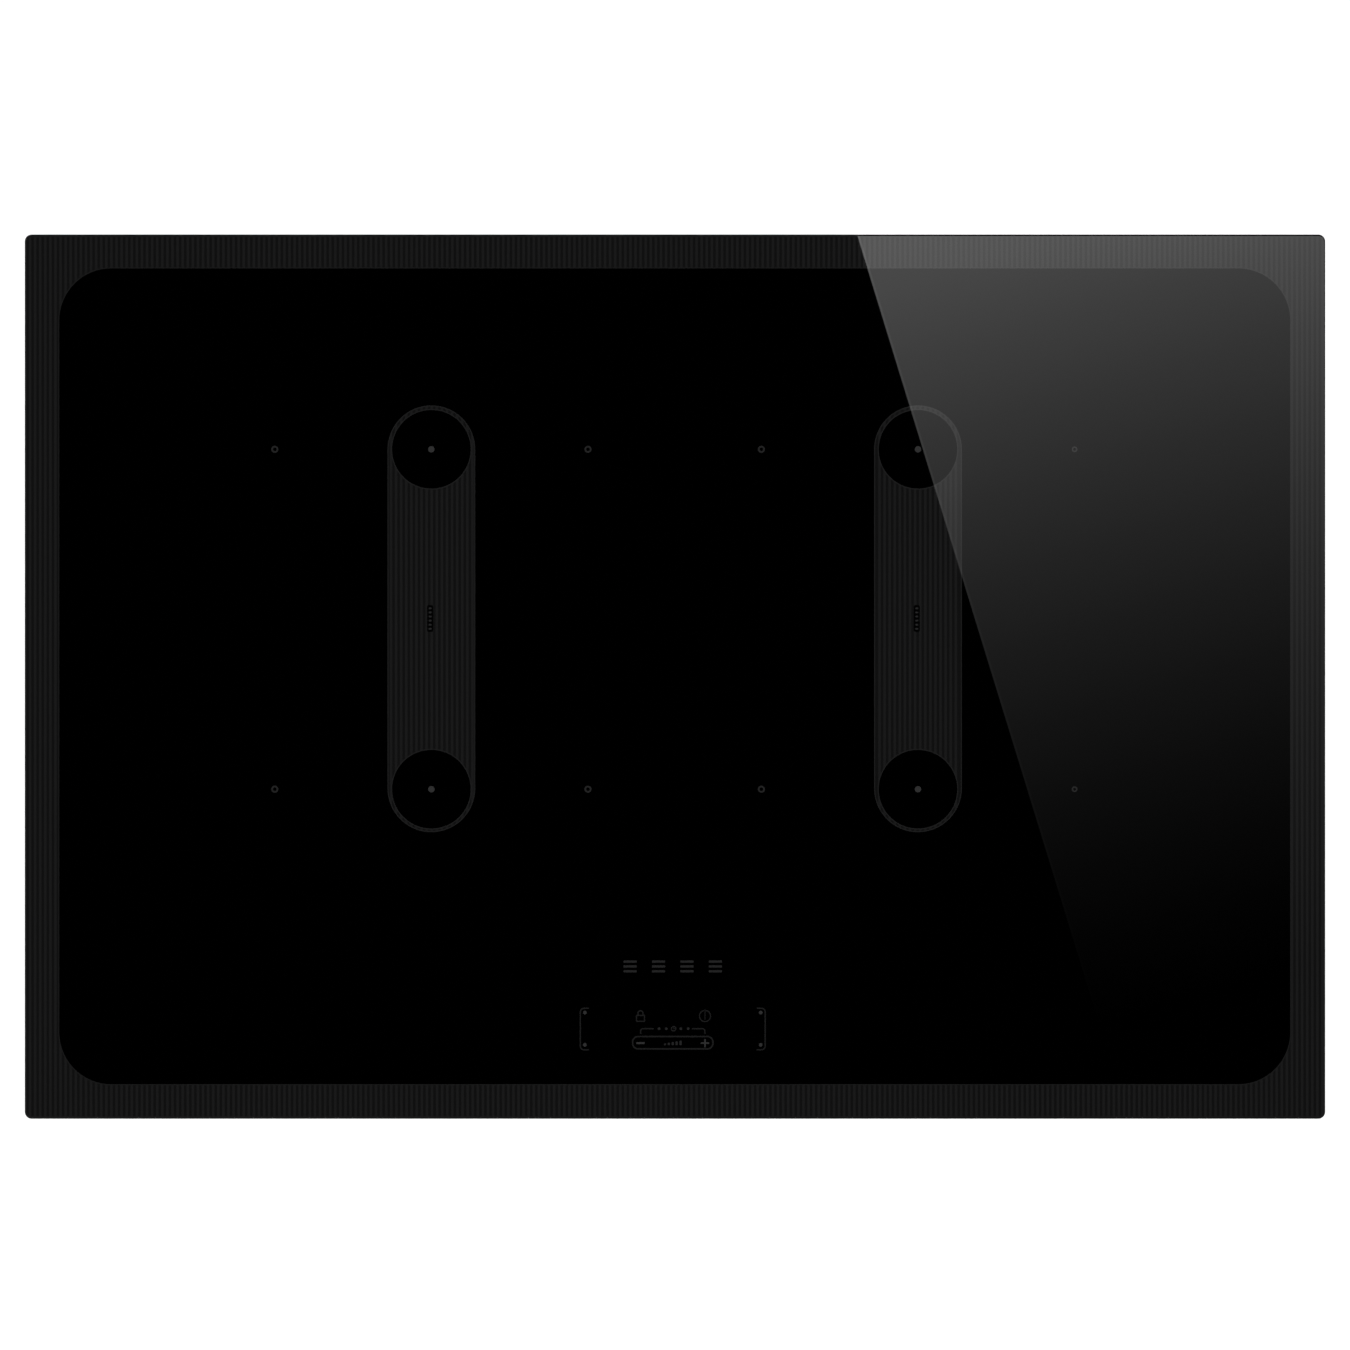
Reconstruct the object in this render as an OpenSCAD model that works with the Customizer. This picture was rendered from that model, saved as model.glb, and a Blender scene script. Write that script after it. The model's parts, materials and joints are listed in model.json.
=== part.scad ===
// Built-in electric induction cooktop: a frameless glass plate over a steel casing that hangs in
// a worktop cut-out. The casing holds four sprung coils, two power boards, two blowers,
// a mains filter, a terminal box and a touch board.
// Frame: +X to the user's right, -Y towards the user, +Z up.
// The origin is the middle of the casing's bottom.

/* [Glass] */
// Width of the glass
glass_w = 750; // [745:1:800]
// Depth of the glass, front to back
glass_d = 510; // [508:1:525]
// Thickness of the glass
glass_t = 4; // [3:0.5:6]
// Radius of the glass corners, seen from above
glass_r = 4; // [3:0.5:10]
// Height from the casing's bottom to the cooking surface
total_h = 54; // [54:0.5:58]

/* [Casing] */
// Width of the casing, for a 560 mm cut-out
casing_w = 552; // [550:1:556]
// Depth of the casing, for a 490 mm cut-out
casing_d = 480; // [480:1:486]
// Thickness of the casing sheet
sheet_t = 0.8; // [0.6:0.1:1]
// Width of the corner notch that holds a clamp
notch_w = 44; // [42:1:46]
// Depth of the corner notch that holds a clamp
notch_d = 28; // [26:1:30]
// Width of one air slot
slot_w = 4; // [3:0.5:5]

/* [Frame and seals] */
// Width of the support frame's flange under the glass
flange_w = 14; // [12:1:16]
// Thickness of the support frame sheet
frame_t = 1; // [0.8:0.1:1.2]
// Thickness of the silicone bead between glass and frame
bond_t = 0.6; // [0.4:0.1:1]
// Width of the foam gasket under the glass edge
gasket_w = 6; // [5:0.5:6.5]
// Thickness of the foam gasket
gasket_t = 3; // [2:0.5:4]
// Distance from the glass edge to the gasket
gasket_inset = 2.5; // [2:0.5:3]

/* [Cooking zones] */
// Distance from the middle to a column of zones
zone_x = 140.3; // [138:0.1:142]
// Place of the back zones, from the middle
zone_back_y = 131.1; // [129:0.1:132]
// Place of the front zones, from the middle
zone_front_y = -64.9; // [-66:0.1:-62]

/* [Coils] */
// Outer radius of a coil carrier
carrier_r = 92; // [90:0.5:94]
// Radius of the litz strand
strand_r = 1.5; // [1.2:0.1:1.5]
// Number of turns of a winding
turns = 20; // [16:1:20]
// Thickness of the mica sheet on a coil
mica_t = 0.5; // [0.3:0.1:0.8]
// Height of the coil plate above the casing's bottom
plate_z = 30; // [29.5:0.1:30]
// Thickness of the aluminium coil plate
plate_t = 1.2; // [1:0.1:1.5]
// Number of ferrite bars under a coil
ferrite_count = 8; // [8:1:8]
// Radius of a guide post for a coil spring
post_r = 2; // [1.5:0.1:2.2]

/* [Power boards] */
// Height of the power boards above the casing's bottom
board_z = 6; // [5:0.5:7]
// Thickness of a circuit board
board_t = 1.6; // [1.2:0.1:1.6]
// Number of fins on a heat sink
fin_count = 12; // [8:1:14]
// Height of a heat sink
sink_h = 20; // [16:1:20]

/* [Blowers] */
// Distance from the middle to a blower's axis
fan_x = 205; // [203:1:206]
// Place of the blowers' axes, from the middle
fan_y = -160; // [-162:1:-158]
// Inner radius of a blower housing
fan_r = 40; // [39:0.5:41]
// Height of a blower housing
fan_h = 26; // [25:0.5:27]
// Number of blades on an impeller
blade_count = 24; // [12:1:30]
// Radius of the fan shaft
shaft_r = 1.5; // [1.2:0.1:2]
// Running clearance of the turning parts, radial
running = 0.06; // [0.02:0.01:0.1]

/* [Touch controls] */
// Middle of the control group, from the middle of the glass
control_x = -1.1; // [-3:0.1:3]
// Place of the back row of keys
key_row_back = -195.7; // [-197:0.1:-195]
// Place of the front row of keys
key_row_front = -211.3; // [-212:0.1:-210]
// Distance from the middle of the group to a side key
key_dx = 18.6; // [17:0.1:20]
// Distance from the middle of the group to a lamp
lamp_dx = 50.7; // [49:0.1:52]

/* [Terminal box] */
// Left edge of the terminal box
term_x = 123; // [122:1:124]
// Width of the terminal box
term_w = 108; // [107:0.5:108]
// Depth of the terminal box
term_d = 34; // [32:1:36]
// Height of the terminal box
term_h = 24; // [23:0.5:24]
// Width of its cover
cover_w = 82; // [76:1:82]
// Inner radius of the cable gland
gland_r = 6; // [5:0.5:6.5]
// Radius of the cover's hinge pin
pin_r = 1; // [0.8:0.1:1.1]

/* [Worktop clamps] */
// Length of a clamp from its screw to its tip
clamp_l = 28; // [24:1:29]
// Height of a clamp's lower face
clamp_z = 16.5; // [12:0.5:18]
// Radius of the clamp screws
clamp_screw_r = 2; // [1.5:0.1:2.2]
// How far a side clip stands out of the casing
clip_out = 3; // [2:0.5:3.5]

/* [Hidden] */
$fn = 48;
eps = 0.01;
cut = 0.5;

glass_z = total_h - glass_t;
bond_z = glass_z - bond_t;
flange_z = bond_z - frame_t;
tray_h = flange_z - 0.4;
skirt_z = flange_z - 12.4;
skirt_in = sheet_t + 0.2;

half_w = casing_w / 2;
half_d = casing_d / 2;
rear_in = half_d - sheet_t;

mica_z = glass_z - mica_t;
strand_z = mica_z - 0.2 - strand_r;
strand_pitch = 2 * strand_r + 0.15;
winding_r = 28;
disc_t = 1.6;
disc_z = mica_z - 0.2 - 2 * strand_r - 0.1 - disc_t;
hub_r = 22;
rim_t = 2;
ferrite_l = 46;
ferrite_w = 12;
ferrite_h = 4;
ferrite_r = 30;
ferrite_z = disc_z - ferrite_h;
spoke_t = 1.2;
boss_r = 6;
boss_z = disc_z - 3.6;
boss_at = 80;
boss_angles = [90, 225, 315];
plate_top = plate_z + plate_t;
post_top = boss_z + 2;
spring_wire = 0.5;
spring_r = 3.7;
spring_turns = 4;
lead_at = 13;

board_top = board_z + board_t;
board_x0 = 30;
board_w = 232;
board_y0 = -108;
board_d = 226;
sink_x = fan_x - 21;
sink_w = 56;
sink_y0 = -104;
sink_l = 150;
filter_x0 = -70;
filter_y0 = 140;
filter_w = 170;
filter_d = 74;

house_wall = 1.6;
house_z = sheet_t;
house_top = house_z + fan_h;
duct_l = 48;
inlet_r = 30;
fan_cup_r = 14.5;
blade_z0 = house_z + 4.4;
blade_z1 = house_z + 18.4;

touch_z = glass_z - 7;
touch_y = (key_row_back + key_row_front) / 2;
touch_w = 144;
touch_d = 42;
holder_wall = 1.6;
holder_z = touch_z - 5;

term_z = 4;
term_wall = 1.6;
window_x0 = term_x + 4;
window_w = cover_w - 6;
window_z0 = 8;
window_z1 = 25.5;
cover_x0 = window_x0 - 3;
cover_z0 = 5;
cover_h = 22.5;
cover_t = 1.8;
hinge_y = half_d + 2.2;
hinge_z = 4;
knuckle_r = 2;
knuckle_l = 10;
gland_x = term_x + term_w - 13;
gland_z = 16;
gland_in = 9;

clamp_x = half_w - 12;
clamp_y = half_d - 14;
clamp_t = 2;
clamp_r = 8;
pillar_r = 4.5;
pillar_z = clamp_z + clamp_t + 0.4;

casing_screw_z = flange_z - 6.4;
casing_screw_r = 1.9;
side_screws = [-180, -60, 60, 180];
end_screws = [-110, 110];
clip_ys = [-120, 120];

corners = ["front_left", "front_right", "back_left", "back_right"];

// ---- places ----------------------------------------------------------------------------------

function is_left(corner) = corner == "front_left" || corner == "back_left";
function is_front(corner) = corner == "front_left" || corner == "front_right";
function sign_x(corner) = is_left(corner) ? -1 : 1;
function sign_y(corner) = is_front(corner) ? -1 : 1;
function zone_pos(corner) = [sign_x(corner) * zone_x, is_front(corner) ? zone_front_y : zone_back_y, 0];

module at_corner_zone(corner) {
    translate(zone_pos(corner)) children();
}

// Puts a piece drawn for the right side on the left side too when s is -1
module on_side(s) {
    mirror([s < 0 ? 1 : 0, 0, 0]) children();
}

// ---- shared shapes ---------------------------------------------------------------------------

module rounded_rect(w, d, r) {
    square([w, d - 2 * r], center = true);
    square([w - 2 * r, d], center = true);
    for (x = [-1, 1], y = [-1, 1])
        translate([x * (w / 2 - r), y * (d / 2 - r)]) circle(r = r);
}

// The casing seen from above, moved in by the given distance: a rectangle with four notches
module casing_outline(inset) {
    w = half_w - inset;
    d = half_d - inset;
    nx = half_w - notch_w - inset;
    ny = half_d - notch_d - inset;
    polygon([
        [w, ny], [nx, ny], [nx, d], [-nx, d], [-nx, ny], [-w, ny],
        [-w, -ny], [-nx, -ny], [-nx, -d], [nx, -d], [nx, -ny], [w, -ny]
    ]);
}

module box_at(x, y, z, w, d, h) {
    translate([x, y, z]) cube([w, d, h]);
}

module post_at(x, y, z, r, h) {
    translate([x, y, z]) cylinder(r = r, h = h);
}

// A flat ring with its lower face at z
module ring(r_out, r_in, z, h) {
    translate([0, 0, z]) difference() {
        cylinder(r = r_out, h = h, $fn = 96);
        translate([0, 0, -cut]) cylinder(r = r_in, h = h + 2 * cut, $fn = 96);
    }
}

function unit(v) = v / norm(v);
function heading(path, i) = unit(path[min(i + 1, len(path) - 1)] - path[max(i - 1, 0)]);
function hoop(centre, dir, ref, r, n) =
    let (u = unit(cross(dir, ref)), v = cross(dir, u))
    [for (k = [0:n - 1]) centre + r * (cos(360 * k / n) * u + sin(360 * k / n) * v)];

// A round tube along a path; ref is any direction that the path never takes
module tube(path, r, n = 8, ref = [0.36, 0.48, 0.8]) {
    m = len(path);
    points = [for (i = [0:m - 1]) each hoop(path[i], heading(path, i), ref, r, n)];
    walls = [
        for (i = [0:m - 2], k = [0:n - 1])
            let (a = i * n + k, b = i * n + (k + 1) % n)
            each [[a, a + n, b + n], [a, b + n, b]]
    ];
    first = [for (k = [0:n - 1]) k];
    last = [for (k = [n - 1:-1:0]) (m - 1) * n + k];
    polyhedron(points, concat([first], walls, [last]));
}

// Height of a spring's wire along its turns, with half a flat turn at each end
function spring_rise(t, n) = min(max((t * n - 0.5) / (n - 1), 0), 1);

// A compression spring standing on z0 and reaching z1
module spring(r, wire, z0, z1, n) {
    steps = 10 * n;
    span = z1 - z0 - 2 * wire;
    tube([
        for (i = [0:steps])
            [r * cos(360 * n * i / steps), r * sin(360 * n * i / steps),
             z0 + wire + span * spring_rise(i / steps, n)]
    ], wire, 5, [0, 0, 1]);
}

// A pan-head screw with its head's lower face at the origin, head up, shank down
module screw(head_r, head_h, shank_r, shank_l) {
    slot = head_r / 4;
    difference() {
        cylinder(r = head_r, h = head_h);
        for (a = [0, 90])
            rotate(a) translate([-head_r * 0.6, -slot / 2, head_h * 0.5]) cube([head_r * 1.2, slot, head_h]);
    }
    translate([0, 0, -shank_l]) cylinder(r = shank_r, h = shank_l + eps);
}

// ---- glass, seals and frame ------------------------------------------------------------------

module glass_top() {
    color("#0b0b0c")
    translate([0, 0, glass_z]) linear_extrude(glass_t) rounded_rect(glass_w, glass_d, glass_r);
}

// The silicone bead that bonds the glass to its frame
module bond_bead() {
    color("#3a3a3c")
    translate([0, 0, bond_z]) linear_extrude(bond_t) difference() {
        square([casing_w - 4, casing_d - 4], center = true);
        square([casing_w - 20, casing_d - 20], center = true);
    }
}

// The foam gasket that lies on the worktop
module rim_gasket() {
    w = glass_w - 2 * gasket_inset;
    d = glass_d - 2 * gasket_inset;
    color("#2b2b2b")
    translate([0, 0, glass_z - gasket_t]) linear_extrude(gasket_t) difference() {
        rounded_rect(w, d, 3);
        square([w - 2 * gasket_w, d - 2 * gasket_w], center = true);
    }
}

module frame_flange() {
    difference() {
        square([casing_w, casing_d], center = true);
        square([casing_w - 2 * flange_w, casing_d - 2 * flange_w], center = true);
    }
    for (x = [-1, 1], y = [-1, 1])
        translate([x * (half_w - notch_w / 2), y * (half_d - notch_d / 2)])
            square([notch_w, notch_d], center = true);
}

// Holes through the casing walls for the casing screws, with the given radius
module casing_screw_holes(r) {
    for (y = side_screws)
        translate([0, y, casing_screw_z]) rotate([0, 90, 0])
            cylinder(r = r, h = casing_w + 20, center = true);
    for (x = end_screws)
        translate([x, 0, casing_screw_z]) rotate([90, 0, 0])
            cylinder(r = r, h = casing_d + 20, center = true);
}

// The frame bonded under the glass: flange, skirt inside the casing walls and four clamp pillars
module support_frame() {
    color("#8d9195") {
        translate([0, 0, flange_z]) linear_extrude(frame_t) frame_flange();
        difference() {
            translate([0, 0, skirt_z]) linear_extrude(flange_z - skirt_z + eps) difference() {
                casing_outline(skirt_in);
                casing_outline(skirt_in + frame_t);
            }
            casing_screw_holes(casing_screw_r + 0.3);
        }
        for (x = [-1, 1], y = [-1, 1])
            translate([x * clamp_x, y * clamp_y, pillar_z]) difference() {
                cylinder(r = pillar_r, h = flange_z - pillar_z + eps);
                translate([0, 0, -cut]) cylinder(r = clamp_screw_r + running, h = 24);
            }
    }
}

// ---- casing ----------------------------------------------------------------------------------

// Slots across a circle, each as long as the chord where it lies
module chord_slots(r, pitch) {
    count = floor(r / pitch);
    for (i = [-count:count]) {
        half = sqrt(r * r - pow(i * pitch, 2));
        translate([i * pitch - slot_w / 2, -half, -cut]) cube([slot_w, 2 * half, sheet_t + 2 * cut]);
    }
}

module wall_slots(x0, x1, y, z, h) {
    pitch = 2.2 * slot_w;
    for (x = [x0:pitch:x1])
        translate([x, y - 2, z]) cube([slot_w, 4, h]);
}

module floor_slots(x0, x1, y, l) {
    pitch = 3 * slot_w;
    for (x = [x0:pitch:x1])
        translate([x, y, -cut]) cube([slot_w, l, sheet_t + 2 * cut]);
}

// A stiffening bead pressed up into the floor
module bead(x, y, w, d) {
    rise = 1.2;
    difference() {
        translate([x, y, 0]) cube([w, d, sheet_t + rise]);
        translate([x + sheet_t, y + sheet_t, -cut]) cube([w - 2 * sheet_t, d - 2 * sheet_t, rise + cut]);
    }
}

module bead_holes() {
    box_at(-12 + sheet_t, -118 + sheet_t, -cut, 24 - 2 * sheet_t, 236 - 2 * sheet_t, 2);
    for (x = [-170, 90])
        box_at(x + sheet_t, -60 + sheet_t, -cut, 80 - 2 * sheet_t, 14 - 2 * sheet_t, 2);
    for (x = [-170, 90])
        box_at(x + sheet_t, 60 + sheet_t, -cut, 80 - 2 * sheet_t, 14 - 2 * sheet_t, 2);
}

module base_tray() {
    color("#a4a8ab") {
        difference() {
            linear_extrude(tray_h) casing_outline(0);
            translate([0, 0, sheet_t]) linear_extrude(tray_h) casing_outline(sheet_t);
            bead_holes();
            for (s = [-1, 1])
                translate([s * fan_x, fan_y, 0]) chord_slots(inlet_r - 1, 2 * slot_w);
            floor_slots(-220, -120, 170, 40);
            wall_slots(-220, 90, half_d, 12, 18);
            wall_slots(-160, 160, -half_d, 12, 18);
            box_at(window_x0, half_d - 2, window_z0, window_w, 4, window_z1 - window_z0);
            for (x = [cover_x0 + knuckle_l, cover_x0 + cover_w - 2 * knuckle_l])
                box_at(x - 0.5, half_d - 2, 1.5, knuckle_l + 1, 4, window_z0 - 1);
            translate([gland_x, half_d - 3, gland_z]) rotate([-90, 0, 0]) cylinder(r = gland_r + 2.1, h = 6);
            casing_screw_holes(casing_screw_r + 0.2);
        }
        bead(-12, -118, 24, 236);
        for (x = [-170, 90], y = [-60, 60])
            bead(x, y, 80, 14);
    }
}

// Four leaf springs on the side walls that centre the casing in the cut-out
module side_clips() {
    half = 14;
    bow = (half * half + clip_out * clip_out) / (2 * clip_out);
    mid = tray_h / 2;
    leaf = 0.8;
    color("#b9bcbf")
    for (s = [-1, 1], y = clip_ys) on_side(s) translate([half_w, y - 8, 0]) {
        translate([clip_out - bow, 0, mid]) rotate([-90, 0, 0]) intersection() {
            difference() {
                cylinder(r = bow, h = 16, $fn = 180);
                translate([0, 0, -cut]) cylinder(r = bow - leaf, h = 16 + 2 * cut, $fn = 180);
            }
            translate([bow - clip_out, -half, -cut]) cube([clip_out + 1, 2 * half, 17]);
        }
        box_at(0, 0, mid + half - 1.5, leaf, 16, 8);
    }
}

// ---- coils -----------------------------------------------------------------------------------

module plate_holes() {
    for (corner = corners)
        at_corner_zone(corner) {
            for (a = boss_angles)
                rotate(a) post_at(boss_at, 0, plate_z - cut, post_r, plate_t + 2 * cut);
            for (s = [-1, 1])
                post_at(s * lead_at, 0, plate_z - cut, 4, plate_t + 2 * cut);
            for (k = [0:3])
                rotate(45 + 90 * k) box_at(36, -5, plate_z - cut, 34, 10, plate_t + 2 * cut);
        }
}

// The aluminium plate that carries the coils
module coil_plate() {
    color("#c3c7ca")
    difference() {
        translate([0, 0, plate_z]) linear_extrude(plate_t) intersection() {
            casing_outline(6);
            translate([-half_w, fan_y]) square([casing_w, half_d - fan_y]);
        }
        plate_holes();
        for (y = [-120:30:200])
            box_at(-22, y, plate_z - cut, 44, 6, plate_t + 2 * cut);
    }
}

// Riveted posts that guide the coil springs
module spring_posts() {
    color("#d0d2d4")
    for (corner = corners, a = boss_angles)
        at_corner_zone(corner) rotate(a) {
            post_at(boss_at, 0, plate_z - 1, 3.5, 1);
            post_at(boss_at, 0, plate_z - 0.5, post_r, post_top - plate_z + 0.5);
        }
}

// The temperature sensor in the middle of each zone, in its silicone holder
module zone_sensors() {
    color("#b0472f")
    for (corner = corners)
        at_corner_zone(corner) {
            post_at(0, 0, plate_top, 5, glass_z - plate_top - 3);
            post_at(0, 0, glass_z - 3 - eps, 9, 3 + eps);
        }
}

module carrier_windows() {
    for (k = [0:ferrite_count - 1])
        rotate(360 * k / ferrite_count) box_at(38, -5, disc_z - cut, 28, 10, disc_t + 2 * cut);
}

module carrier_ribs() {
    for (k = [0:ferrite_count - 1], s = [-1, 1])
        rotate(360 * (k + 0.5) / ferrite_count)
            box_at(ferrite_r - 2, s * (ferrite_w / 2 + 0.1 + spoke_t / 2) - spoke_t / 2, ferrite_z,
                   ferrite_l + 4, spoke_t, ferrite_h + eps);
}

module coil_carrier(corner) {
    color("#d8d3c4")
    at_corner_zone(corner) difference() {
        union() {
            ring(carrier_r, hub_r, disc_z, disc_t);
            ring(hub_r + rim_t, hub_r, disc_z, mica_z - disc_z);
            ring(carrier_r, carrier_r - rim_t, disc_z, mica_z - disc_z);
            carrier_ribs();
            for (a = boss_angles)
                rotate(a) post_at(boss_at, 0, boss_z, boss_r, disc_z - boss_z + eps);
        }
        carrier_windows();
        for (a = boss_angles)
            rotate(a) post_at(boss_at, 0, boss_z - cut, post_r + 0.6, disc_z + disc_t - boss_z + 2 * cut);
    }
}

// Turns of litz wire, side by side
module winding(corner) {
    color("#b5713a")
    at_corner_zone(corner)
    for (i = [0:turns - 1])
        translate([0, 0, strand_z]) rotate_extrude($fn = 96)
            translate([winding_r + i * strand_pitch, 0]) circle(r = strand_r, $fn = 24);
}

module ferrites(corner) {
    color("#2e2e30")
    at_corner_zone(corner)
    for (k = [0:ferrite_count - 1])
        rotate(360 * (k + 0.5) / ferrite_count)
            box_at(ferrite_r, -ferrite_w / 2, ferrite_z, ferrite_l, ferrite_w, ferrite_h);
}

module mica(corner) {
    color("#c9bfa6")
    at_corner_zone(corner) ring(carrier_r - 1, 14, mica_z, mica_t);
}

module coil_springs(corner) {
    color("#cfd1d3")
    at_corner_zone(corner)
    for (a = boss_angles)
        rotate(a) translate([boss_at, 0, 0]) spring(spring_r, spring_wire, plate_top, boss_z, spring_turns);
}

// ---- power electronics -----------------------------------------------------------------------

// Plastic posts under the circuit boards and steel pillars under the coil plate
module standoffs() {
    color("#e4e2da") {
        for (s = [-1, 1], x = [board_x0 + 8, board_x0 + board_w - 8], y = [board_y0 + 8, board_y0 + board_d - 8])
            post_at(s * x, y, sheet_t, 3.5, board_z - sheet_t);
        for (x = [filter_x0 + 7, filter_x0 + filter_w - 7], y = [filter_y0 + 7, filter_y0 + filter_d - 7])
            post_at(x, y, sheet_t, 3.5, board_z - sheet_t);
    }
    color("#9ea2a5") {
        for (s = [-1, 1], y = [-130, 126])
            post_at(s * 267, y, sheet_t, 3, plate_z - sheet_t);
        for (s = [-1, 1])
            post_at(s * 112, 228, sheet_t, 4, plate_z - sheet_t);
        for (y = [-130, 128])
            post_at(0, y, sheet_t, 4, plate_z - sheet_t);
    }
}

module power_board(s) {
    color("#1f6b3a")
    on_side(s) difference() {
        box_at(board_x0, board_y0, board_z, board_w, board_d, board_t);
        for (x = [board_x0 + 8, board_x0 + board_w - 8], y = [board_y0 + 8, board_y0 + board_d - 8])
            post_at(x, y, board_z - cut, 1.6, board_t + 2 * cut);
    }
}

// An extruded heat sink whose fins run front to back
module heat_sink(s) {
    fin_t = 1.6;
    pitch = (sink_w - fin_t) / (fin_count - 1);
    color("#b8bcc0")
    on_side(s) translate([sink_x - sink_w / 2, sink_y0 + sink_l, board_top]) rotate([90, 0, 0])
        linear_extrude(sink_l) {
            square([sink_w, 3]);
            for (i = [0:fin_count - 1])
                translate([i * pitch, 0]) square([fin_t, sink_h]);
        }
}

// Transistors and bridge rectifiers pressed against the inner side of each heat sink
module power_devices() {
    color("#26272a")
    for (s = [-1, 1]) on_side(s) {
        for (y = [-90:28:-6])
            box_at(sink_x - sink_w / 2 - 5, y, board_top + 1, 5, 16, 18);
        box_at(sink_x - sink_w / 2 - 5, 10, board_top + 1, 5, 30, 18);
    }
}

module capacitors() {
    color("#c8b23a")
    for (s = [-1, 1]) on_side(s) {
        for (i = [0:3])
            box_at(62, -92 + 24 * i, board_top, 38, 18, 19);
        for (i = [0:1])
            box_at(112, 62 + 24 * i, board_top, 32, 14, 18);
    }
}

// Toroidal chokes on the power boards and the filter board
module chokes() {
    color("#a0622d") {
        for (s = [-1, 1], y = [24, 66])
            translate([s * 80, y, board_top + 6]) rotate_extrude() translate([13, 0]) circle(r = 6);
        translate([-38, filter_y0 + 37, board_top + 6]) rotate_extrude() translate([14, 0]) circle(r = 6);
    }
}

module filter_board() {
    color("#1f6b3a")
    difference() {
        box_at(filter_x0, filter_y0, board_z, filter_w, filter_d, board_t);
        for (x = [filter_x0 + 7, filter_x0 + filter_w - 7], y = [filter_y0 + 7, filter_y0 + filter_d - 7])
            post_at(x, y, board_z - cut, 1.6, board_t + 2 * cut);
    }
}

// Interference capacitors, a fuse and a relay on the filter board
module filter_parts() {
    color("#3c5f8f") {
        for (i = [0:2])
            box_at(-4 + 22 * i, filter_y0 + 16, board_top, 14, 32, 18);
        box_at(66, filter_y0 + 14, board_top, 22, 20, 16);
        box_at(-4, filter_y0 + 58, board_top, 40, 8, 9);
    }
}

// ---- blowers ---------------------------------------------------------------------------------

module blower_shell(r, x0, x1, y1) {
    circle(r = r, $fn = 96);
    translate([x0, 0]) square([x1 - x0, y1]);
}

// Scroll housing, open below at the inlet and behind at the outlet
module blower_housing(s) {
    outer = fan_r + house_wall;
    color("#3f4246")
    on_side(s) translate([fan_x, fan_y, 0]) difference() {
        translate([0, 0, house_z]) linear_extrude(fan_h) blower_shell(outer, -outer, 0, duct_l);
        translate([0, 0, house_z + house_wall]) linear_extrude(fan_h - 2 * house_wall)
            blower_shell(fan_r, -fan_r, -house_wall, duct_l + 1);
        translate([0, 0, -cut]) cylinder(r = inlet_r, h = 5, $fn = 96);
    }
}

// Impeller: hub cup around the motor, backplate, blades and the ring that ties their ends
module impeller(s) {
    tip = fan_r - 3;
    color("#2c2e31")
    on_side(s) translate([fan_x, fan_y, 0]) {
        ring(fan_cup_r, shaft_r + running, blade_z0, 2);
        ring(fan_cup_r, fan_cup_r - 1.6, blade_z0, blade_z1 - blade_z0 + 1.2);
        ring(tip, fan_cup_r - 1.6, blade_z1, 1.2);
        ring(tip, tip - 2, blade_z0, 1.2);
        for (k = [0:blade_count - 1])
            rotate(360 * k / blade_count) translate([tip - 9.5, 0, blade_z0 + 0.3]) rotate(20)
                cube([9, 0.9, blade_z1 - blade_z0]);
    }
}

// Fixed half of the motor with its shaft, hanging from the housing's roof
module fan_motor(s) {
    roof = house_top - house_wall;
    color("#8a5a2c")
    on_side(s) translate([fan_x, fan_y, 0]) {
        post_at(0, 0, blade_z1 + 2, 13, roof - blade_z1 - 2);
        post_at(0, 0, blade_z0 + 3, fan_cup_r - 3.5, roof - blade_z0 - 3);
        post_at(0, 0, blade_z0, shaft_r, roof - blade_z0);
    }
}

// ---- terminal box ----------------------------------------------------------------------------

// Rings on the hinge line, each knuckle_l long, starting at the given places
module knuckles(starts, bore_r, l) {
    for (x = starts)
        translate([x, hinge_y, hinge_z]) rotate([0, 90, 0]) difference() {
            cylinder(r = knuckle_r, h = l);
            translate([0, 0, -cut]) cylinder(r = bore_r, h = l + 2 * cut);
        }
}

function ear_starts() = [cover_x0 + knuckle_l, cover_x0 + cover_w - 2 * knuckle_l];
function cover_starts() = [cover_x0 + 0.5, cover_x0 + 2 * knuckle_l + 0.3, cover_x0 + cover_w - knuckle_l + 0.3];

// A moulded box behind the rear wall, open to the rear, with two ears through the wall
module terminal_box() {
    y0 = rear_in - term_d;
    color("#ded9cc") {
        difference() {
            box_at(term_x, y0, term_z, term_w, term_d, term_h);
            box_at(term_x + term_wall, y0 + term_wall, term_z + term_wall,
                   term_w - 2 * term_wall, term_d, term_h - 2 * term_wall);
            translate([term_x + 25, y0 - cut, 20]) rotate([-90, 0, 0]) cylinder(r = 4, h = 4);
        }
        for (x = ear_starts())
            difference() {
                box_at(x, rear_in - 4, hinge_z - 1, knuckle_l, hinge_y - rear_in + 4, 2);
                translate([x - cut, hinge_y, hinge_z]) rotate([0, 90, 0])
                    cylinder(r = pin_r + 0.5, h = knuckle_l + 2 * cut);
            }
        knuckles(ear_starts(), pin_r + 0.02, knuckle_l);
    }
}

module terminal_block() {
    poles = 5;
    pitch = 12;
    y0 = rear_in - term_d + term_wall;
    color("#e9e6dc")
    difference() {
        box_at(window_x0 + 7, y0, term_z + term_wall, poles * pitch, 13, 15);
        for (i = [0:poles - 1])
            translate([window_x0 + 13 + i * pitch, y0 + 6, term_z + term_wall + 5]) rotate([-90, 0, 0])
                cylinder(r = 2.2, h = 10);
    }
}

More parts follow.
